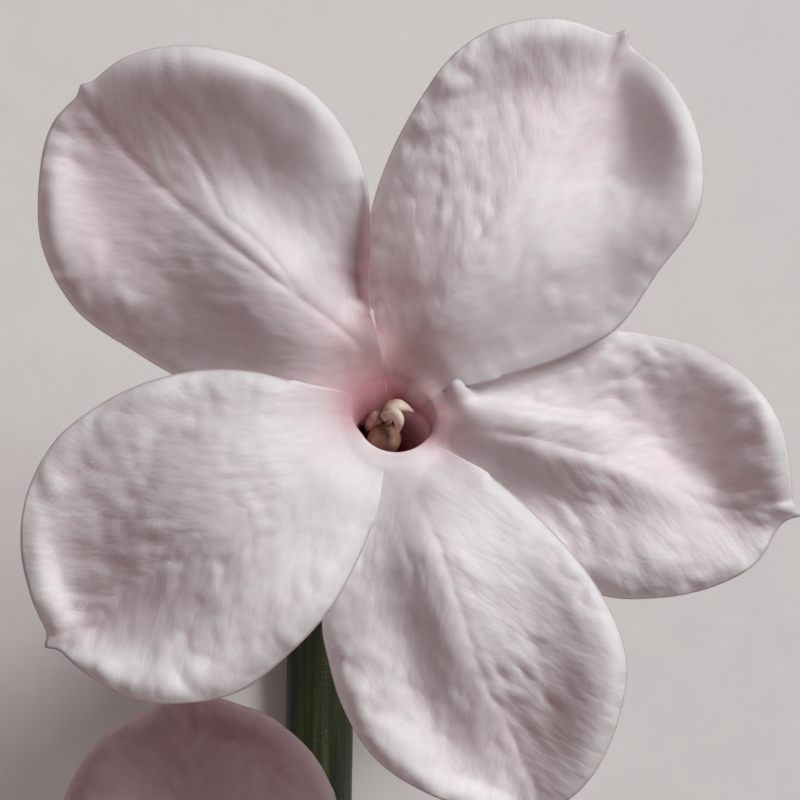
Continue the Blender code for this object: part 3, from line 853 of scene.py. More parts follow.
@dataclass
class Bloom:
    """Where one open bloom stands: its mouth, turn, tilt and size, its tube's line and its joint."""

    name: str
    mouth: Place
    turn: float
    tilt: Flat
    scale: float
    tube: Curve
    joint: Place

    @property
    def length(self) -> float:
        """The tube's length, taken straight."""
        return (Vector(self.mouth) - Vector(self.tube[0])).length

    def upright(self) -> Quaternion:
        """The turn that stands the lobes as the bloom stands, without the bloom's own turn."""
        tilt = Matrix.Rotation(math.radians(self.tilt[0]), 3, "X")
        tilt = tilt @ Matrix.Rotation(math.radians(self.tilt[1]), 3, "Y")
        return tilt.to_quaternion()

    def in_throat(self, x: float, y: float, depth: float) -> Vector:
        """A place in the throat.

        Args:
            x: sideways from the tube's line, before the bloom's own turn.
            y: upwards from it, seen from in front.
            depth: along the line, under the mouth.

        Returns:
            The place.
        """
        centre, _ = bezier(self.tube, 1 - depth / self.length)
        return centre + Matrix.Rotation(math.radians(self.turn), 3, "Z") @ Vector((x, y, 0)) * self.scale


@dataclass
class LobeSheet:
    """The upper surface of one lobe, from the mouth's ring to its free edge.

    ring is the mouth's half width and half height, and fuller is the share by which it is fuller at
    the upper left. corner is the share of an outline's side that the columns take before the tip
    starts. seam is the share of the rows that are joined to the neighbours. soft_drop, sharp_drop
    and steep_drop are how far the mouth's edge slopes in at the upper right, at the lower left and
    at the upper left, and hollow is the depth between the right and the bottom lobe. Each of the
    creases is a height, a width, a length and a pattern's number.
    """

    lobe: Lobe
    rows: int
    columns: int
    seed: float
    ring: Flat = (1.28, 1.12)
    fuller: float = 0.17
    corner: float = 0.62
    seam: float = 0.13
    bowl: float = 1.0
    lap: float = 0.34
    edge_drop: float = 0.14
    edge_width: float = 0.16
    crest: float = 0.42
    blend: float = 0.5
    nib_width: float = 0.22
    groove_width: float = 0.16
    soft_drop: float = 0.32
    sharp_drop: float = 0.14
    steep_drop: float = 0.48
    hollow: float = 0.6
    creases: tuple[tuple[float, float, float, int], ...] = ((0.085, 0.55, 1.1, 0), (0.07, 0.3, 0.65, 5))

    def __post_init__(self) -> None:
        """Lays the outline's two sides, drawn out into the small point."""
        lobe = self.lobe
        self.right = smooth_line([lobe.right_notch, *lobe.right, lobe.tip])
        self.left = smooth_line([lobe.left_notch, *lobe.left, lobe.tip])
        out = np.array(lobe.tip) / np.linalg.norm(lobe.tip)
        for side in (self.right, self.left):
            near = np.linalg.norm(side - side[-1], axis=1)
            side += out * (lobe.nib * hill(near, self.nib_width))[:, None]

    def ring_point(self, angle: Any) -> np.ndarray:
        """A point of the mouth's ring at an angle, in radians: an oval that is fuller at the upper left."""
        full = 1 + self.fuller * ease(0.3, 1.0, facing(angle, 138))
        return np.stack([self.ring[0] * full * np.cos(angle), self.ring[1] * full * np.sin(angle)], axis=-1)

    def angles(self) -> np.ndarray:
        """The angle round the mouth at each column."""
        first = math.atan2(self.lobe.right_notch[1], self.lobe.right_notch[0])
        last = math.atan2(self.lobe.left_notch[1], self.lobe.left_notch[0])
        return first + ((last - first) % (2 * math.pi)) * np.arange(self.columns + 1) / self.columns

    def side(self, line: np.ndarray, notch: Flat, u: np.ndarray) -> np.ndarray:
        """A side of the sheet: the seam from the ring to the notch, then the free edge.

        Args:
            line: the free edge, from the notch to the tip.
            notch: where the seam ends.
            u: shares of the way from the ring outwards.

        Returns:
            One point for each share.
        """
        start = self.ring_point(math.atan2(notch[1], notch[0]))
        inner = start + (np.array(notch) - start) * np.minimum(u / self.seam, 1)[:, None]
        outer = along(line, self.corner * np.clip((u - self.seam) / (1 - self.seam), 0, 1))
        return np.where((u <= self.seam)[:, None], inner, outer)

    def plan(self) -> np.ndarray:
        """The sheet seen from in front, as a patch between its four sides.

        Returns:
            Points by row, column and coordinate.
        """
        u = np.arange(self.rows + 1) / self.rows
        v = np.arange(self.columns + 1) / self.columns
        right = self.side(self.right, self.lobe.right_notch, u)[:, None]
        left = self.side(self.left, self.lobe.left_notch, u)[:, None]
        ring = self.ring_point(self.angles())[None]
        # Columns are closer together near the tip, where the small point is.
        w = 2 * v - 1
        w = np.sign(w) * np.abs(w) ** 1.25
        end_right = along(self.right, self.corner + (1 - self.corner) * np.clip(1 + w, 0, 1))
        end_left = along(self.left, self.corner + (1 - self.corner) * np.clip(1 - w, 0, 1))
        end = np.where((w < 0)[:, None], end_right, end_left)[None]
        u, v = u[:, None, None], v[None, :, None]
        corners = (
            (1 - u) * (1 - v) * ring[:, :1] + (1 - u) * v * ring[:, -1:]
            + u * (1 - v) * end[:, :1] + u * v * end[:, -1:]
        )
        return (1 - v) * right + v * left + (1 - u) * ring + u * end - corners

    def edge_places(self, plan: np.ndarray) -> tuple[np.ndarray, np.ndarray]:
        """How far each point is from the free edge, and where the nearest place of the edge is.

        Args:
            plan: points by row, column and coordinate.

        Returns:
            The distances and the places along the edge from the right notch, by row and column.
        """
        edge = np.concatenate([self.right, self.left[::-1]])
        best = np.full(plan.shape[:-1], 1e9)
        place = np.zeros(plan.shape[:-1])
        passed = 0.0
        for start, end in zip(edge, edge[1:]):
            span = end - start
            length = float(np.linalg.norm(span))
            t = np.clip(((plan - start) @ span) / max(length**2, 1e-12), 0, 1)
            away = np.linalg.norm(plan - start - t[..., None] * span, axis=-1)
            closer = away < best
            best = np.where(closer, away, best)
            place = np.where(closer, passed + t * length, place)
            passed += length
        return best, place

    def rim_size(self, plan: np.ndarray) -> tuple[np.ndarray, np.ndarray]:
        """The raised rim's height and inner width near each point, blended along the nearest edge.

        Args:
            plan: points by row, column and coordinate.

        Returns:
            The heights and the widths, by row and column.
        """
        edge = np.concatenate([self.right, self.left[::-1]])[::3]
        lengths = np.concatenate([[0], np.cumsum(np.linalg.norm(np.diff(edge, axis=0), axis=1))])
        shares, heights, widths = (np.array(column) for column in zip(*self.lobe.rim))
        away = np.linalg.norm(plan[:, :, None] - edge[None, None], axis=-1)
        weight = np.exp(-(away - away.min(axis=-1, keepdims=True)) / self.blend)
        weight /= weight.sum(axis=-1, keepdims=True)
        place = lengths / lengths[-1]
        return weight @ np.interp(place, shares, heights), weight @ np.interp(place, shares, widths)

    def vein_places(self, plan: np.ndarray, side: int = 0) -> np.ndarray:
        """Where each point lies across and along the veins, which leave the midrib at a slant.

        Args:
            plan: points by row, column and coordinate.
            side: 1 follows the left side's veins everywhere, -1 the right side's, and 0 each side's own.

        Returns:
            Across, along and the distance to the midrib's left, in the last dimension.
        """
        base, tip = np.array(self.lobe.midrib[0]), np.array(self.lobe.midrib[-1])
        heading = (tip - base) / np.linalg.norm(tip - base)
        reach = (plan - base) @ heading
        left = (plan - base) @ np.array([-heading[1], heading[0]])
        aside = left * side if side else np.sqrt(left**2 + 0.02)
        # The veins leave the midrib at 34 degrees and bend outwards on their way to the edge.
        across = 0.66 * (reach - 1.5 * aside + 0.1 * np.maximum(aside, 0) ** 2)
        return np.stack([across, 1.3 * aside + 0.35 * reach, left], axis=-1)

    def calmed(self, vein: np.ndarray) -> Any:
        """The share of the creasing that is left at each place.

        Args:
            vein: each point's place among the veins.

        Returns:
            1 everywhere, or less on the side of the midrib that is creased less.
        """
        if not self.lobe.calm:
            return 1.0
        return 1 - 0.55 * ease(-0.4, 1.2, self.lobe.calm * vein[..., 2])

    def crinkle(self, plan: np.ndarray, inset: np.ndarray, place: np.ndarray) -> np.ndarray:
        """The crepe of the blade: short creases along the veins, and gathers across the margin.

        Args:
            plan: points by row, column and coordinate.
            inset: each point's distance from the free edge.
            place: the place of the nearest edge, along the edge.

        Returns:
            Heights in millimetres, by row and column.
        """
        x, y = plan[..., 0], plan[..., 1]
        sway = 0.3 * ripple(x / 0.9, y / 0.9, self.seed + 9)
        creased = 0.03 * ripple(x / 0.36, y / 0.36, self.seed + 7)
        for side in (-1, 1):
            vein = self.vein_places(plan, side)
            across, length = vein[..., 0] + sway, vein[..., 1] - sway
            share = ease(-0.8 * side, 0.8 * side, vein[..., 2])
            for height, wide, long, pattern in self.creases:
                seed = self.seed + pattern + side
                creased += share * height * ripple(across / wide, length / long, seed)
        patch = 0.45 + 0.9 * ease(-0.3, 0.35, ripple(x / 2.4, y / 2.4, self.seed + 2))
        creased *= self.calmed(self.vein_places(plan))
        creased *= self.lobe.crepe * patch * (0.3 + 0.7 * ease(3.0, 7.0, np.hypot(x, y)))
        gathers = 0.1 * ripple(place / 0.42, inset / 2.0 + 0.2 * place, self.seed + 3)
        gathers *= hill(inset, 1.1) * ease(-0.15, 0.3, ripple(place / 2.6, inset * 0, self.seed + 4))
        return creased + gathers

    def mouth(self, plan: np.ndarray) -> np.ndarray:
        """The slopes into the mouth. Its edge is sharp at the lower left and soft at the upper right.

        Args:
            plan: points by row, column and coordinate.

        Returns:
            Heights in millimetres, by row and column, none over 0.
        """
        x, y = plan[..., 0], plan[..., 1]
        reach = np.linalg.norm(plan, axis=-1)
        angle = np.arctan2(y, x)
        soft = ease(-0.2, 1.0, facing(angle, 75))
        steep = ease(0.0, 0.9, facing(angle, 120))
        out = np.clip((reach - 1.15) / 2.6, 0, 1)
        slope = -self.soft_drop * soft * (1 - ease(0.8, 4.2, reach))
        slope -= self.sharp_drop * (1 - 0.8 * soft) * (1 - ease(1.0, 1.6, reach))
        slope -= self.steep_drop * steep * (1 - out) ** 2 / (1 + 3 * out)
        # The right and the bottom lobe part in a small hollow.
        return slope - self.hollow * hill(x - 1.5, 0.8) * hill(y + 0.9, 0.7)

    def throat_rose_and_shade(self, plan: np.ndarray) -> np.ndarray:
        """How pink the skin is round the mouth, most of all at the upper left, with a patch of painted shade
        at the right lobe's base.

        Args:
            plan: points by row, column and coordinate.

        Returns:
            Pinkness by row and column.
        """
        reach = np.linalg.norm(plan, axis=-1)
        angle = np.arctan2(plan[..., 1], plan[..., 0])
        flush = ease(-0.2, 1.0, facing(angle, 120))
        rose = 0.05 + (0.1 + 0.42 * flush) * fading(reach, 1.25, 0.1 + 1.25 * flush)
        rose += 0.1 * flush * fading(reach, 1.5, 3.0)
        # A patch beside the mouth, at the right lobe's base, is rose: painted shade.
        rose += 0.38 * ease(0.5, 0.95, facing(angle, -5)) * fading(reach, 1.5, 0.5)
        rose += 0.3 * ease(0.4, 1.0, facing(angle, 150)) * fading(reach, 1.3, 0.25)
        return rose

    def upturned(self, place: np.ndarray) -> Any:
        """The share of the upturn that each place along the edge has.

        Args:
            place: the place of the nearest edge, along the edge.

        Returns:
            Shares from 0 to 1, or 0 where the lobe has no upturn.
        """
        if not self.lobe.upturn:
            return 0.0
        start, end = self.lobe.upturn[:2]
        middle = (start + end) / 2
        return ease(start, middle, place) * ease(end, middle, place)

    def relief(self, plan: np.ndarray) -> tuple[np.ndarray, np.ndarray]:
        """The height of each point over the mouth's level, and how pink it is.

        Args:
            plan: points by row, column and coordinate.

        Returns:
            Heights in millimetres and pinkness from 0 to 1, by row and column.
        """
        lobe = self.lobe
        reach = np.linalg.norm(plan, axis=-1)
        own = ease(1.5, 4.2, reach)
        inset, place = self.edge_places(plan)
        height, width = self.rim_size(plan)
        rim = height * hill(np.maximum(inset - self.crest, 0), width)
        drop = self.edge_drop * np.exp(-inset / self.edge_width)
        share = self.upturned(place)
        if lobe.upturn:
            stand, foot = lobe.upturn[2:]
            rim = rim + share * stand * np.exp(-inset / foot)
            drop = drop * (1 - share)
        folds = plan @ np.array(lobe.lean) + sum(ridge.heights(plan) for ridge in lobe.ridges)
        u = (np.arange(self.rows + 1) / self.rows)[:, None]
        v = (np.arange(self.columns + 1) / self.columns)[None]
        lap = self.lap * (lobe.laps[0] * ease(0.45, 0.0, v) + lobe.laps[1] * ease(0.55, 1.0, v))
        lap = lap * (1 - ease(0.6, 1, u))
        crinkle = self.crinkle(plan, inset, place)
        midrib = Ridge(lobe.midrib, -lobe.groove, self.groove_width, self.groove_width).heights(plan)
        high = self.mouth(plan) + self.bowl * (reach / 13) ** 2
        high += own * (rim - drop + folds + lap + crinkle + midrib)
        if lobe.corner:
            right, top, lift = lobe.corner
            away = np.hypot(plan[..., 0] - right, plan[..., 1] - top)
            notch = np.linalg.norm(plan - np.array(lobe.left_notch), axis=-1)
            high += lift * hill(away, 0.42) * ease(0, 0.35, notch)
        rose = self.throat_rose_and_shade(plan)
        rose += 0.5 * Ridge(lobe.midrib, 0.14, 0.5, 0.5).heights(plan) * ease(11, 3, reach)
        # Crests and the margin are whiter, and the crinkle's hollows pinker: the margin's whiteness is the
        # skin's own, while the crests' and hollows' tint is partly its own and partly painted shade. The
        # upturn's stretch of edge is pinker: painted shade on the strip that turns from the light.
        rose -= own * (0.05 * (rim + folds) + 0.08 * hill(inset, 1.2) + 0.6 * crinkle)
        rose += 0.5 * share * np.exp(-inset / 0.45)
        return high, np.clip(rose, 0, 0.8)


@dataclass
class Corolla:
    """A bloom's five lapping lobes and its tube, grown as one sheet and then thickened.

    neck is the stretch of depths over which the tube turns round. upper_slope and left_slope are how
    far its upper and its left wall slope in under the mouth.
    """

    bloom: Bloom
    rows: int
    columns: int
    seed: float
    petal: bpy.types.Material
    tube_rows: int = 36
    thickness: float = 0.2
    tube_radius: float = 1.02
    neck: Flat = (1.4, 5.0)
    upper_slope: float = 0.62
    left_slope: float = 0.2

    def tube_ring(self, sheet: LobeSheet, depth: float, heights: np.ndarray) -> list[Vector]:
        """The points of one ring of the tube's inner wall.

        Args:
            sheet: the lobe over this part of the ring.
            depth: how far under the mouth the ring lies.
            heights: the heights of the mouth's ring over its level.

        Returns:
            One point for each column.
        """
        bloom = self.bloom
        level = bloom.upright()
        centre, heading = bezier(bloom.tube, max(1 - depth / bloom.length, 0.0))
        normal = level @ Vector((0, 0, 1))
        axis = normal.lerp(heading, float(ease(0.2, 2.6, depth))).normalized()
        turn = normal.rotation_difference(axis) @ level
        round_off = float(ease(0.3, 2.6, depth))
        narrow = float(ease(*self.neck, depth))
        # The tube swells a little where the anthers stand, and narrows to its foot.
        wanted = self.tube_radius * (1 - 0.12 * ease(7, 15, depth))
        slope = (1 - math.exp(-depth / 0.5)) * (1 - narrow)
        fade = math.exp(-depth / 3.0)
        own_turn = Matrix.Rotation(math.radians(bloom.turn), 3, "Z")
        points = []
        for angle, (x, y), high in zip(sheet.angles(), sheet.ring_point(sheet.angles()), heights):
            flat = Vector((x, y)).lerp(Vector((math.cos(angle), math.sin(angle))) * 1.2, round_off)
            flat = flat.lerp(flat.normalized() * wanted, narrow)
            above = float(ease(-0.2, 1.0, facing(angle, 80)))
            beside = float(ease(-0.1, 1.0, facing(angle, 185)))
            flat -= flat.normalized() * (self.upper_slope * above + self.left_slope * beside) * slope
            local = own_turn @ Vector((flat.x, flat.y, high * fade))
            points.append(centre + turn @ (local * bloom.scale))
        return points

    def add_lobe(self, bm: bmesh.types.BMesh, layers: dict[str, Any], sheet: LobeSheet) -> None:
        """Adds a lobe with its fifth of the tube, and marks its points for the petal's finish.

        Args:
            bm: the corolla's mesh.
            layers: the layers of the finish's attributes, and of the thickness's weight as body.
            sheet: the lobe's sheet.
        """
        bloom = self.bloom
        stands = Matrix.Translation(bloom.mouth) @ bloom.upright().to_matrix().to_4x4()
        stands = stands @ Matrix.Rotation(math.radians(bloom.turn), 4, "Z") @ Matrix.Scale(bloom.scale, 4)
        plan = sheet.plan()
        high, rose = sheet.relief(plan)
        reach = np.linalg.norm(plan, axis=-1)
        inset = sheet.edge_places(plan)[0] + FAR_INSIDE * ease(3.4, 2.4, reach)
        inset[: int(sheet.seam * self.rows) + 1] = FAR_INSIDE
        vein = sheet.vein_places(plan)
        crepe = ease(1.6, 3.4, reach) * min(sheet.lobe.crepe, 1.0) * sheet.calmed(vein)
        # The margins are thinner than the blade.
        full = 0.05 + 0.95 * ease(0.0, 0.5, inset)
        depths = bloom.length * (1 - np.arange(self.tube_rows) / self.tube_rows) ** 1.7
        rings = [self.tube_ring(sheet, float(depth), high[0]) for depth in depths]
        # The left wall stays a deeper rose than the rest of the tube's wall, which takes the pale painted
        # glow.
        wall = 1 - 0.2 * ease(0.3, 1.0, facing(sheet.angles(), 145))
        # Each lobe has a pattern of its own.
        pattern = sheet.seed * 7.3
        total = self.tube_rows + self.rows
        made = bmesh.ops.create_grid(bm, x_segments=self.columns, y_segments=total, size=0.5)["verts"]
        for vertex in made:
            row, column = round((vertex.co.y + 0.5) * total), round((vertex.co.x + 0.5) * self.columns)
            if row < self.tube_rows:
                depth = float(depths[row])
                vertex.co = rings[row][column]
                # Down the tube the colour runs to the pale painted glow of light through the wall, which
                # fades further down.
                start = float(rose[0, column])
                inner = float(wall[column]) - 0.35 * float(ease(3.0, 9.0, depth))
                vertex[layers["rose"]] = start + (inner - start) * float(ease(0.05, 1.0, depth))
                vertex[layers["inset"]] = FAR_INSIDE
                vertex[layers["vein"]] = Vector((column * 7.0 / self.columns, -depth, pattern))
                vertex[layers["body"]][0] = 1.0
            else:
                row -= self.tube_rows
                vertex.co = stands @ Vector((*plan[row, column], high[row, column]))
                vertex[layers["rose"]] = float(rose[row, column])
                vertex[layers["inset"]] = float(inset[row, column])
                vertex[layers["vein"]] = Vector((*vein[row, column, :2], pattern))
                vertex[layers["crepe"]] = float(crepe[row, column])
                vertex[layers["body"]][0] = float(full[row, column])

    def build(self) -> bpy.types.Object:
        """Makes the corolla.

        Returns:
            The finished piece.
        """
        bloom = self.bloom
        bm = bmesh.new()
        layers = petal_marks(bm)
        layers["body"] = bm.verts.layers.deform.verify()
        for k, lobe in enumerate(LOBES):
            self.add_lobe(bm, layers, LobeSheet(lobe, self.rows, self.columns, self.seed + k))
        bmesh.ops.reverse_faces(bm, faces=bm.faces)
        bmesh.ops.remove_doubles(bm, verts=bm.verts, dist=WELD)
        foot = bezier(bloom.tube, 0.0)[0]
        loop = [e for e in bm.edges if e.is_boundary and (e.verts[0].co - foot).length < 2.0]
        bmesh.ops.contextual_create(bm, geom=loop)
        name = bloom.name + "_corolla"
        piece = finish_piece(bm, bloom.name + "_petals", [name], self.petal)
        piece.vertex_groups.new(name="body")
        thicken(piece, self.thickness, group="body")
        return piece


@dataclass
class Calyx:
    """The green cup round a tube's foot: a ribbed wall whose rim runs out into five narrow teeth.

    below is how far its foot lies under the tube's, outer is the room between the tube and the cup,
    and first is the angle of the first tooth.
    """

    name: str
    line: Curve
    tube_radius: float
    green: bpy.types.Material
    below: float = 0.9
    height: float = 3.2
    tooth: float = 2.3
    wall: float = 0.3
    outer: float = 0.68
    foot_radius: float = 0.62
    dip: float = 0.35
    rib: float = 0.07
    flare: float = 0.5
    teeth: int = 5
    first: float = math.radians(20)
    rows: int = 40
    columns: int = 110

    def build(self) -> bpy.types.Object:
        """Makes the calyx.

        Returns:
            The finished piece.
        """
        start, heading = bezier(self.line, 0.0)
        base = start - heading * self.below
        place = Matrix.Translation(base) @ heading.to_track_quat("Z", "Y").to_matrix().to_4x4()
        bm = bmesh.new()
        made = bmesh.ops.create_grid(bm, x_segments=self.columns, y_segments=self.rows, size=0.5)["verts"]
        reach = self.tube_radius + self.outer
        for vertex in made:
            share = vertex.co.y + 0.5
            angle = (vertex.co.x + 0.5) * 2 * math.pi
            # The wave is 1 at the middle of a tooth and 0 between two teeth.
            wave = 0.5 + 0.5 * math.cos(self.teeth * (angle - self.first))
            top = self.height - self.dip + self.tooth * wave**3.2 + self.dip * wave
            high = top * share
            foot = float(ease(0.0, 1.3, high))
            radius = self.foot_radius + (reach - self.foot_radius) * foot**0.6
            # A rib runs up to each tooth and to each gap between two.
            ribs = math.cos(2 * self.teeth * (angle - self.first))
            radius += self.rib * ribs * float(ease(0.4, 1.4, high))
            radius += self.flare * float(ease(self.height - 0.4, self.height + self.tooth, high))
            vertex.co = place @ Vector((radius * math.cos(angle), radius * math.sin(angle), high))
        bmesh.ops.remove_doubles(bm, verts=bm.verts, dist=WELD)
        foot_edges = [e for e in bm.edges if e.is_boundary and (e.verts[0].co - base).length < 0.8]
        bmesh.ops.contextual_create(bm, geom=foot_edges)
        bmesh.ops.recalc_face_normals(bm, faces=bm.faces)
        piece = finish_piece(bm, self.name + "_cup", [self.name], self.green)
        thicken(piece, self.wall, -1.0)
        return piece


@dataclass
class Pistil:
    """The thread-like style in the tube and the forked stigma that shows in the mouth.

    Each knot of a fork is its place sideways and upwards, its depth under the mouth and its radius.
    """

    bloom: Bloom
    cream: bpy.types.Material
    radius: float = 0.2
    forks: tuple[tuple[tuple[float, float, float, float], ...], ...] = (
        ((-0.04, 0.42, 1.5, 0.12), (-0.10, 0.42, 0.75, 0.2), (0.13, 0.50, 0.6, 0.19),
         (0.38, 0.44, 0.62, 0.12), (0.62, 0.34, 0.7, 0.03)),
        ((-0.10, 0.29, 1.4, 0.12), (-0.21, 0.22, 0.8, 0.14), (0.03, 0.22, 0.5, 0.17),
         (0.15, 0.02, 0.45, 0.16), (0.15, -0.28, 0.65, 0.05)),
    )

    def build(self) -> bpy.types.Object:
        """Makes the pistil.

        Returns:
            The finished piece.
        """
        bloom = self.bloom
        bm = bmesh.new()
        line = [bezier(bloom.tube, share)[0] for share in (0.0, 0.25, 0.5, 0.68)]
        line += [bloom.in_throat(0.0, 0.2, 3.2), bloom.in_throat(-0.06, 0.34, 1.6)]
        swept(bm, smooth_line(line, 8), lambda share, angle: self.radius, 40, 12)
        for fork in self.forks:
            knots = [(*bloom.in_throat(x, y, depth), size) for x, y, depth, size in fork]
            route = smooth_line(knots, 12)
            steps = np.linalg.norm(np.diff(route[:, :3], axis=0), axis=1)
            shares = np.concatenate([[0], np.cumsum(steps)]) / steps.sum()

            def ribbon(share: float, angle: float) -> float:
                """The fork's radius: a flat ribbon with a faint groove, drawn out to its point."""
                size = float(np.interp(share, shares, route[:, 3]))
                return size * bloom.scale * (1 + 0.18 * math.cos(2 * angle) - 0.1 * hill(angle, 0.4))

            swept(bm, route[:, :3], ribbon, 30, 20)
        name = bloom.name + "_pistil"
        return finish_piece(bm, bloom.name + "_stigma", [name], self.cream)


@dataclass
class Anther:
    """One anther: a mealy grain of two halves with a groove between them, on a short filament.

    depth is how far under the mouth the grain's middle lies.
    """

    bloom: Bloom
    name: str
    place: Flat
    depth: float
    thick: float
    tan: bpy.types.Material
    length: float = 1.5
    filament: float = 1.0
    filament_radius: float = 0.1

    def build(self) -> bpy.types.Object:
        """Makes the anther.

        Returns:
            The finished piece.
        """
        bloom = self.bloom
        half = self.length / 2
        x, y = self.place
        low = bloom.in_throat(x, y, self.depth + half)
        high = bloom.in_throat(x, y, self.depth - half)
        bm = bmesh.new()

        def grain(share: float, angle: float) -> float:
            """The grain's radius: rounded at both ends, with a groove on either side."""
            end = math.sqrt(max(1 - abs(2 * share - 1) ** 3.2, 0.0))
            groove = hill(abs(angle - 0.6) % math.pi, 0.3)
            return self.thick * max(end, 0.06) * (1 - 0.24 * groove)

        swept(bm, np.array([low, low.lerp(high, 0.5), high]), grain, 26, 36)
        foot = bloom.in_throat(x * 1.2, y * 1.2, self.depth + half + self.filament)
        swept(bm, np.array([foot, low.lerp(high, 0.3)]), lambda share, angle: self.filament_radius, 6, 10)
        solid = f"{bloom.name}_{self.name}"
        return finish_piece(bm, solid + "_grain", [solid], self.tan)


@dataclass
class Bud:
    """The third flower, still closed: a thin tube that swells into five petals wound round each other.

    Each of the stations is a share of the length and the radius there. twist is how far the petals
    wind, in radians, and step is how deep the step at each petal's edge is.
    """

    line: Curve
    pink: bpy.types.Material
    stations: tuple[Flat, ...] = (
        (0.00, 0.80), (0.18, 0.72), (0.40, 0.78), (0.55, 1.02), (0.66, 1.28), (0.78, 1.36),
        (0.88, 1.14), (0.95, 0.72), (0.985, 0.38), (1.00, 0.12),
    )
    twist: float = 1.7
    step: float = 0.16

    def build(self) -> bpy.types.Object:
        """Makes the bud.

        Returns:
            The finished piece.
        """
        profile = smooth_line(self.stations, 8)

        def radius(share: float, angle: float) -> float:
            """The bud's radius, with a step where each petal's edge laps over the next."""
            wound = (5 * (angle - self.twist * float(ease(0.42, 1.0, share))) / (2 * math.pi)) % 1.0
            lap = wound * (1 - float(ease(0.9, 1.0, wound)))
            depth = self.step * float(ease(0.42, 0.6, share)) * float(ease(1.0, 0.9, share))
            return float(np.interp(share, profile[:, 0], profile[:, 1])) * (1 - depth * (1 - lap) * 0.9)

        line = np.array([bezier(self.line, share)[0] for share in np.linspace(0, 1, 60)])
        bm = bmesh.new()
        layers = petal_marks(bm)
        swept(bm, line, radius, 110, 160)
        start = Vector(self.line[0])
        for vertex in bm.verts:
            away = (vertex.co - start).length
            vertex[layers["rose"]] = 0.62 - 0.12 * float(ease(4, 12, away))
            vertex[layers["inset"]] = FAR_INSIDE
            vertex[layers["crepe"]] = 0.6
            # The pattern lies across the bud's slant and runs up its length.
            vertex[layers["vein"]] = Vector((vertex.co.x * 0.8 + vertex.co.y * 0.6, away * 0.6, 1.0))
        return finish_piece(bm, "bud_petals", ["bud_corolla"], self.pink)


@dataclass
class Stem:
    """The lying stem, its three flower stalks and two small bracts, fused into one skin.

    flat is how far its underside is pressed flat, joints are the shares of its length where it
    swells, bend is how far a stalk runs straight at either end, and voxel is the fused skin's grid.
    """

    green: bpy.types.Material
    line: tuple[Flat, ...] = ((-6.0, -62.0), (-4.6, -46.0), (-3.0, -28.0), (-2.5, -5.0))
    radius: float = 1.1
    flat: float = 0.12
    stalk_radius: float = 0.62
    bend: float = 1.6
    voxel: float = 0.13
    joints: Flat = (0.425, 0.985)
    bract_tips: tuple[Place, Place] = ((0.6, -7.6, 1.5), (-5.6, -7.2, 1.5))

    def stalk(self, bm: bmesh.types.BMesh, joint: Place, line: Sequence[Place]) -> None:
        """Adds a flower's stalk from its joint to the underside of its calyx.

        Args:
            bm: the mesh to add to.
            joint: where the stalk leaves the stem.
            line: the line of the flower's tube.
        """
        start, heading = bezier(line, 0.0)
        end = start - heading * 0.8
        route = [joint, tuple(Vector(joint) + Vector((0, self.bend, 0))),
                 tuple(end - heading * self.bend), tuple(end)]
        dense = np.array([bezier(route, share)[0] for share in np.linspace(0, 1, 40)])

        def radius(share: float, angle: float) -> float:
            """The stalk's radius: thick where it leaves the stem, and a little so under the calyx."""
            wider = 0.35 * (1 - float(ease(0, 0.3, share))) + 0.14 * float(ease(0.8, 1, share))
            return self.stalk_radius + wider

        swept(bm, dense, radius, 30, 20)

    def bract(self, bm: bmesh.types.BMesh, joint: Place, tip: Place) -> None:
        """Adds a narrow bract.

        Args:
            bm: the mesh to add to.
            joint: where it leaves the stem.
            tip: its point.
        """
        start, end = Vector(joint), Vector(tip)
        line = smooth_line([start, start.lerp(end, 0.55) + Vector((0, 0, 0.35)), end], 12)

        def radius(share: float, angle: float) -> float:
            """The bract's radius: flattened, and drawn out to its point."""
            return 0.5 * (1 - share) ** 0.5 * (1 - 0.25 * math.cos(2 * angle)) + 0.12

        swept(bm, line, radius, 16, 14)

    def build(self, blooms: Sequence[Bloom], bud_line: Sequence[Place]) -> bpy.types.Object:
        """Makes the stem.

        Args:
            blooms: the open blooms that it carries.
            bud_line: the line of the bud's tube.

        Returns:
            The finished piece.
        """
        bm = bmesh.new()
        line = smooth_line([(x, y, self.radius - self.flat) for x, y in self.line])

        def radius(share: float, angle: float) -> float:
            """The stem's radius: four faint angles, and a swelling at each joint."""
            swell = sum(0.1 * hill(share - joint, 0.02) for joint in self.joints)
            return self.radius * (1 + 0.035 * math.cos(4 * angle) + swell)

        swept(bm, line, radius, 150, 28)
        for bloom in blooms:
            self.stalk(bm, bloom.joint, bloom.tube)
        top = blooms[0].joint
        self.stalk(bm, top, bud_line)
        for tip in self.bract_tips:
            self.bract(bm, top, tip)
        piece = finish_piece(bm, "sprig_stem", ["stem"], self.green)
        # The pieces are fused into one skin, and their joints are smoothed.
        fuse = piece.modifiers.new("fuse", "REMESH")
        fuse.mode = "VOXEL"
        fuse.voxel_size = self.voxel * MM
        bpy.context.view_layer.update()
        graph = bpy.context.evaluated_depsgraph_get()
        mesh = bpy.data.meshes.new_from_object(piece.evaluated_get(graph))
        piece.modifiers.clear()
        skin = bmesh.new()
        skin.from_mesh(mesh)
        bpy.data.meshes.remove(mesh)
        for _ in range(4):
            bmesh.ops.smooth_vert(
                skin, verts=skin.verts, factor=0.5, use_axis_x=True, use_axis_y=True, use_axis_z=True
            )
        # The underside is flat where it touches the floor.
        for vertex in skin.verts:
            vertex.co.z = max(vertex.co.z, 0.0)
        for face in skin.faces:
            face.smooth = True
        skin.to_mesh(piece.data)
        skin.free()
        return piece


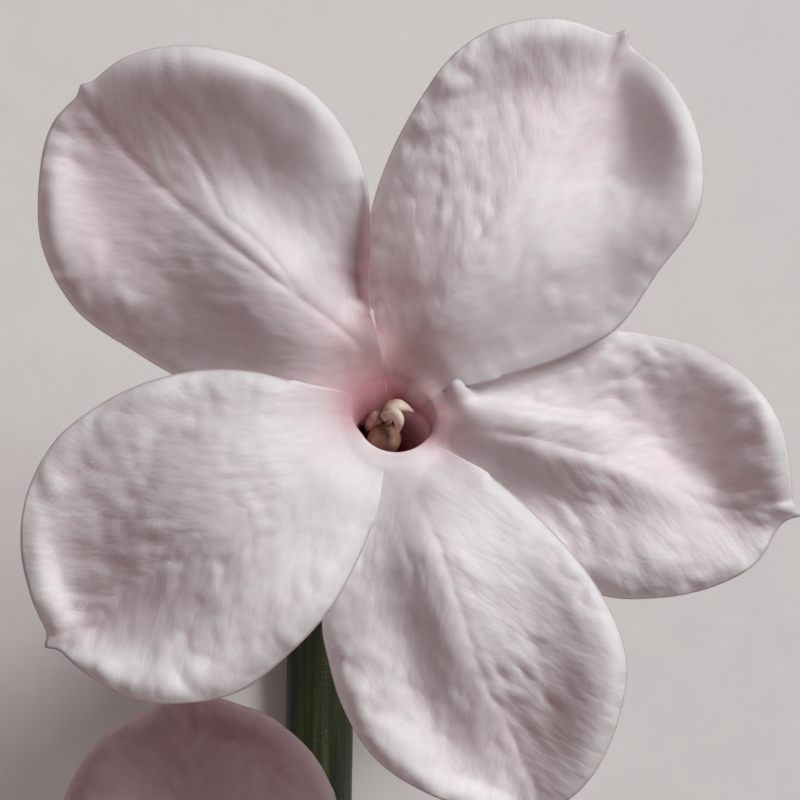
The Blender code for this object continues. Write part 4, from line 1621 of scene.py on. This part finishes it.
@dataclass
class Leaf:
    """A leaf of three leaflets on a bent stalk.

    side is 1 for the right leaf and -1 for the left. Each of the leaflets is where it starts, where
    its tip is, both from the joint, and half its width. lift is the height of the leaflets' tips, and
    droop is how much higher they start.
    """

    name: str
    side: int
    green: bpy.types.Material
    joint: Place = (-3.7, -38.0, 1.2)
    stem_radius: float = 1.1
    stalk_radius: float = 0.45
    rows: int = 84
    columns: int = 52
    thickness: float = 0.26
    lift: float = 0.37
    droop: float = 3.2
    keel: float = 0.18
    wave: float = 0.22
    quilt: float = 0.16
    rib_depth: float = 0.1
    rib_width: float = 0.24
    vein_width: float = 0.16
    veins: int = 6
    leaflets: tuple[tuple[Flat, Flat, float], ...] = (
        ((8.5, 7.5), (24.5, 13.0), 4.6),
        ((7.6, 7.2), (11.0, 17.5), 2.9),
        ((7.4, 6.0), (17.0, 2.6), 2.9),
    )

    def place(self, x: float, y: float, z: float) -> Vector:
        """A place given from the joint, mirrored for the left leaf."""
        return Vector((self.joint[0] + self.side * x, self.joint[1] + y, z))

    def leaflet(self, bm: bmesh.types.BMesh, start: Flat, tip: Flat, half_width: float) -> None:
        """Adds one leaflet's sheet, with its midrib sunk and the blade quilted between the veins.

        Args:
            bm: the mesh to add to.
            start: where the blade starts, from the joint.
            tip: its point, from the joint.
            half_width: half its greatest width.
        """
        mark = bm.verts.layers.float["vein"]
        first, last = np.array(start), np.array(tip)
        span = last - first
        across = np.array([-span[1], span[0]]) / np.linalg.norm(span)
        length = float(np.linalg.norm(span))
        made = bmesh.ops.create_grid(bm, x_segments=self.columns, y_segments=self.rows, size=0.5)
        for vertex in made["verts"]:
            u, t = vertex.co.y + 0.5, 2 * vertex.co.x
            width = half_width * (math.sin(math.pi * min(u + 0.015, 0.985) ** 0.82) ** 0.85 + 0.03)
            point = first + span * u + across * t * width
            middle = math.sin(math.pi * u)
            high = self.lift + self.droop * (1 - u**1.7)
            high += self.keel * half_width * abs(t) ** 1.5 * middle
            high += self.wave * t * t * math.sin(9 * u + (2 if t > 0 else 0)) * middle
            # Side veins leave the midrib at a slant and bend towards the tip.
            beat = self.veins * (u - 0.32 * abs(t) * width / length * 2.2 - 0.06 * t * t)
            near = abs(beat - round(beat)) * length / self.veins
            vein = hill(near, self.vein_width) * (1 - 0.75 * abs(t)) if beat > 0.4 else 0.0
            rib = hill(t * width, self.rib_width)
            high += self.quilt * (1 - hill(near, 0.5)) * (1 - abs(t) ** 3) * middle
            vertex.co = self.place(point[0], point[1], high - self.rib_depth * rib)
            vertex[mark] = min(1.0, 0.75 * rib + 0.55 * vein)

    def build(self) -> bpy.types.Object:
        """Makes the leaf.

        Returns:
            The finished piece.
        """
        bm = bmesh.new()
        bm.verts.layers.float.new("vein")
        bm.verts.layers.float.new("under")
        for start, tip, half_width in self.leaflets:
            self.leaflet(bm, start, tip, half_width)
        if self.side > 0:
            bmesh.ops.recalc_face_normals(bm, faces=bm.faces)
        for face in bm.faces:
            if face.normal.z < 0:
                face.normal_flip()
        # The thickness goes on here, so that the stalk stays as it is.
        upper = set(bm.verts)
        bmesh.ops.solidify(bm, geom=bm.faces[:], thickness=self.thickness)
        for vertex in bm.verts:
            if vertex not in upper:
                vertex[bm.verts.layers.float["under"]] = 1.0
        root = self.stem_radius + 0.1
        stalk = ((root, 0.0, self.joint[2]), (4.4, 3.0, 3.0), (7.5, 6.4, 3.4), (10.2, 8.1, 3.3))
        limbs = (
            (stalk, self.stalk_radius, 0.22),
            (((7.2, 6.1, 3.38), (8.1, 8.8, 3.3)), 0.32, 0.16),
            (((7.0, 6.0, 3.38), (9.4, 5.3, 3.3)), 0.32, 0.16),
        )
        for knots, thick, thin in limbs:
            line = smooth_line([self.place(*knot) for knot in knots])
            swept(bm, line, lambda share, angle: thick + (thin - thick) * share, 30, 14, {"vein": 0.5})
        return finish_piece(bm, self.name + "_blades", [self.name], self.green)


@dataclass
class Studio:
    """The pale floor, the soft studio light and the camera over the main bloom."""

    target: Place = (0.12, 0.54, 22.0)
    distance: float = 180.0
    lens: float = 270.0
    floor_size: float = 900.0
    floor_colour: str = "#EAE7E5"
    floor_light: str = "#EFECEA"
    fill: float = 0.11
    fill_colour: str = "#F4D6D8"
    key_place: Place = (342.0, 342.0, 405.0)
    key_size: float = 234.0
    key_power: float = 3.5
    key_colour: str = "#FCFFFF"
    bounce_place: Place = (-190.0, -190.0, 150.0)
    bounce_size: float = 200.0
    bounce_power: float = 0.06
    bounce_colour: str = "#F6C6CC"

    def floor(self) -> None:
        """Lays the floor, of matt card with a faint grain."""
        bm = bmesh.new()
        bmesh.ops.create_grid(bm, x_segments=1, y_segments=1, size=self.floor_size / 2 * MM)
        mesh = bpy.data.meshes.new("floor")
        bm.to_mesh(mesh)
        bm.free()
        made = bpy.data.materials.new("matt_card")
        made.use_nodes = True
        tree = made.node_tree
        shader = tree.nodes["Principled BSDF"]
        shader.inputs["Roughness"].default_value = 0.85
        where = add_node(tree, "TexCoord").outputs["Object"]
        # The card's grain is about 1.4 mm wide.
        grain = add_node(tree, "TexNoise", {"Scale": 0.7 / MM, "Detail": 3.0}, {"Vector": where})
        tone = set_ramp(
            add_node(tree, "ValToRGB", links={"Fac": grain.outputs["Fac"]}),
            [(0.2, self.floor_colour), (0.8, self.floor_light)],
        )
        tree.links.new(tone, shader.inputs["Base Color"])
        mesh.materials.append(made)
        card = bpy.data.objects.new("floor", mesh)
        bpy.context.scene.collection.objects.link(card)

    def lamp(self, name: str, away: Place, size: float, power: float, code: str) -> None:
        """Adds one soft light that faces the blooms.

        Args:
            name: the light's name.
            away: where it stands from the target, in millimetres.
            size: the side of its square, in millimetres.
            power: in watts.
            code: its colour.
        """
        data = bpy.data.lights.new(name, "AREA")
        data.size = size * MM
        data.energy = power
        data.color = colour(code)[:3]
        light = bpy.data.objects.new(name, data)
        light.location = (Vector(self.target) + Vector(SHIFT) + Vector(away)) * MM
        light.rotation_euler = (-Vector(away)).to_track_quat("-Z", "Y").to_euler()
        bpy.context.scene.collection.objects.link(light)

    def build(self) -> None:
        """Sets the floor, the lights, the world and the camera."""
        self.floor()
        self.lamp("key", self.key_place, self.key_size, self.key_power, self.key_colour)
        # A weak rosy light from the other side, as other blooms would throw back.
        self.lamp("bounce", self.bounce_place, self.bounce_size, self.bounce_power, self.bounce_colour)
        world = bpy.data.worlds.new("studio")
        bpy.context.scene.world = world
        world.use_nodes = True
        sky = world.node_tree.nodes["Background"]
        sky.inputs["Color"].default_value = colour(self.fill_colour)
        sky.inputs["Strength"].default_value = self.fill
        data = bpy.data.cameras.new("camera")
        data.lens = self.lens
        data.sensor_width = 36.0
        data.clip_start = 0.005
        data.clip_end = 5.0
        camera = bpy.data.objects.new("camera", data)
        middle = Vector(self.target) + Vector(SHIFT)
        camera.location = (middle + Vector((0, 0, self.distance))) * MM
        bpy.context.scene.collection.objects.link(camera)
        bpy.context.scene.camera = camera
        bpy.context.scene.view_settings.view_transform = "Standard"


@dataclass
class Sprig:
    """The whole sprig: where its pieces stand, and the finishes that they share."""

    main: Bloom = field(
        default_factory=lambda: Bloom(
            "main", (0.0, 0.0, 22.0), 0.0, (0.0, 0.0), 1.0,
            ((-1.9, -2.9, 6.2), (-1.9, -2.6, 11.0), (-0.75, -1.15, 17.0), (0.0, 0.0, 22.0)),
            (-2.5, -5.0, 1.2),
        )
    )
    side: Bloom = field(
        default_factory=lambda: Bloom(
            "side", (-6.3, -20.1, 12.6), -121.5, (9.0, -5.0), 0.93,
            ((-5.9, -31.6, 3.6), (-6.3, -27.0, 5.2), (-6.6, -21.4, 7.4), (-6.3, -20.1, 12.6)),
            (-3.7, -38.0, 1.2),
        )
    )
    bud_line: Curve = (
        (3.6, -4.6, 4.2), (4.8, -4.0, 6.8), (8.2, -1.8, 10.8), (9.6, -0.9, 15.8),
    )
    # The tubes' outer radii at their feet, where the calyxes hold them
    tube_radius: float = 1.16
    bud_radius: float = 0.78

    def build(self) -> list[bpy.types.Object]:
        """Makes every piece.

        Returns:
            The finished pieces.
        """
        # Petal of jasmine: matt, softly see-through, so its shadows stay light and rosy.
        petal = PetalFinish("jasmine_petal", roughness=0.62, ior=1.38, subsurface=0.3, sheen=0.12).make()
        # The lower bloom's petal is painted darker and mauver: painted shade, as it lies lower, under the
        # main bloom.
        painted_shade_petal = PetalFinish(
            "jasmine_petal_painted_shade", roughness=0.62, ior=1.38, subsurface=0.3, sheen=0.1,
            margin="#D6C4C8", blush="#C5A9AE", rose="#B0868E",
        ).make()
        # Closed bud: the petals' backs, deep pink and smoother than their faces.
        pink = PetalFinish(
            "jasmine_bud_skin", roughness=0.5, ior=1.4, subsurface=0.2,
            margin="#E6C0C9", blush="#D9A5B2", rose="#C98598", throat="#B86C82", deep="#A05268",
        ).make()
        # Stem skin: dark green, partly its own colour and partly painted shade from the blooms over it, waxy
        # and streaked, with a pale pith where it is cut.
        stem_skin = SkinFinish("stem_skin", roughness=0.42, subsurface=0.05, cut_at=-37.0).make()
        # Calyx skin: thinner and lighter than the stem's, flushed brown in patches.
        calyx_skin = SkinFinish(
            "calyx_skin", roughness=0.48, subsurface=0.1,
            base="#6A7238", dark="#4A542A", light="#8A9250", tint="#7A4A40", streaks=(1.8, 1.8, 0.4),
        ).make()
        # Leaf skin: the glossiest of the greens, with a wax that blurs its highlights.
        leaf_skin = LeafFinish("leaf_skin", roughness=0.36, ior=1.47, subsurface=0.08).make()
        # Stigma: moist pale flesh. Anther: mealy, tan, a little rough.
        cream = GrainFinish("stigma_flesh", roughness=0.4, ior=1.4, subsurface=0.25).make()
        tan = GrainFinish(
            "anther_meal", roughness=0.75, ior=1.4, dark="#7A5A48", light="#A9876C",
            grain_size=0.09, grain_depth=0.035,
        ).make()
        # The upper anther has shed its meal, so it is paler and pinker.
        pale_tan = GrainFinish(
            "anther_meal_shed", roughness=0.65, ior=1.4, dark="#A07C70", light="#C9A79C",
            grain_size=0.09, grain_depth=0.025,
        ).make()
        made = [Stem(stem_skin).build([self.main, self.side], self.bud_line)]
        LOG.info("stem made: %s", made[-1].name)
        corollas = (
            Corolla(self.main, 88, 72, 1.0, petal),
            Corolla(self.side, 60, 50, 11.0, painted_shade_petal),
        )
        for corolla in corollas:
            bloom = corolla.bloom
            made.append(corolla.build())
            made.append(Calyx(bloom.name + "_calyx", bloom.tube, self.tube_radius, calyx_skin).build())
            made.append(Pistil(bloom, cream).build())
            made.append(Anther(bloom, "anther_low", (-0.12, -0.30), 1.7, 0.5, tan).build())
            made.append(Anther(bloom, "anther_high", (-0.40, 0.26), 1.75, 0.27, pale_tan).build())
        made.append(Calyx("bud_calyx", self.bud_line, self.bud_radius, calyx_skin).build())
        made.append(Bud(self.bud_line, pink).build())
        for name, side in (("leaf_left", -1), ("leaf_right", 1)):
            made.append(Leaf(name, side, leaf_skin).build())
        return made


def keep_sizes() -> None:
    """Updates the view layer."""
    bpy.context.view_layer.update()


def main() -> None:
    """Builds the sprig and the studio, and updates the view layer."""
    logging.basicConfig(level=logging.INFO, format="%(name)s: %(message)s")
    for piece in Sprig().build():
        LOG.info("made: %s", piece.name)
    Studio().build()
    keep_sizes()
    LOG.info("sizes kept")


if __name__ == "__main__":
    main()
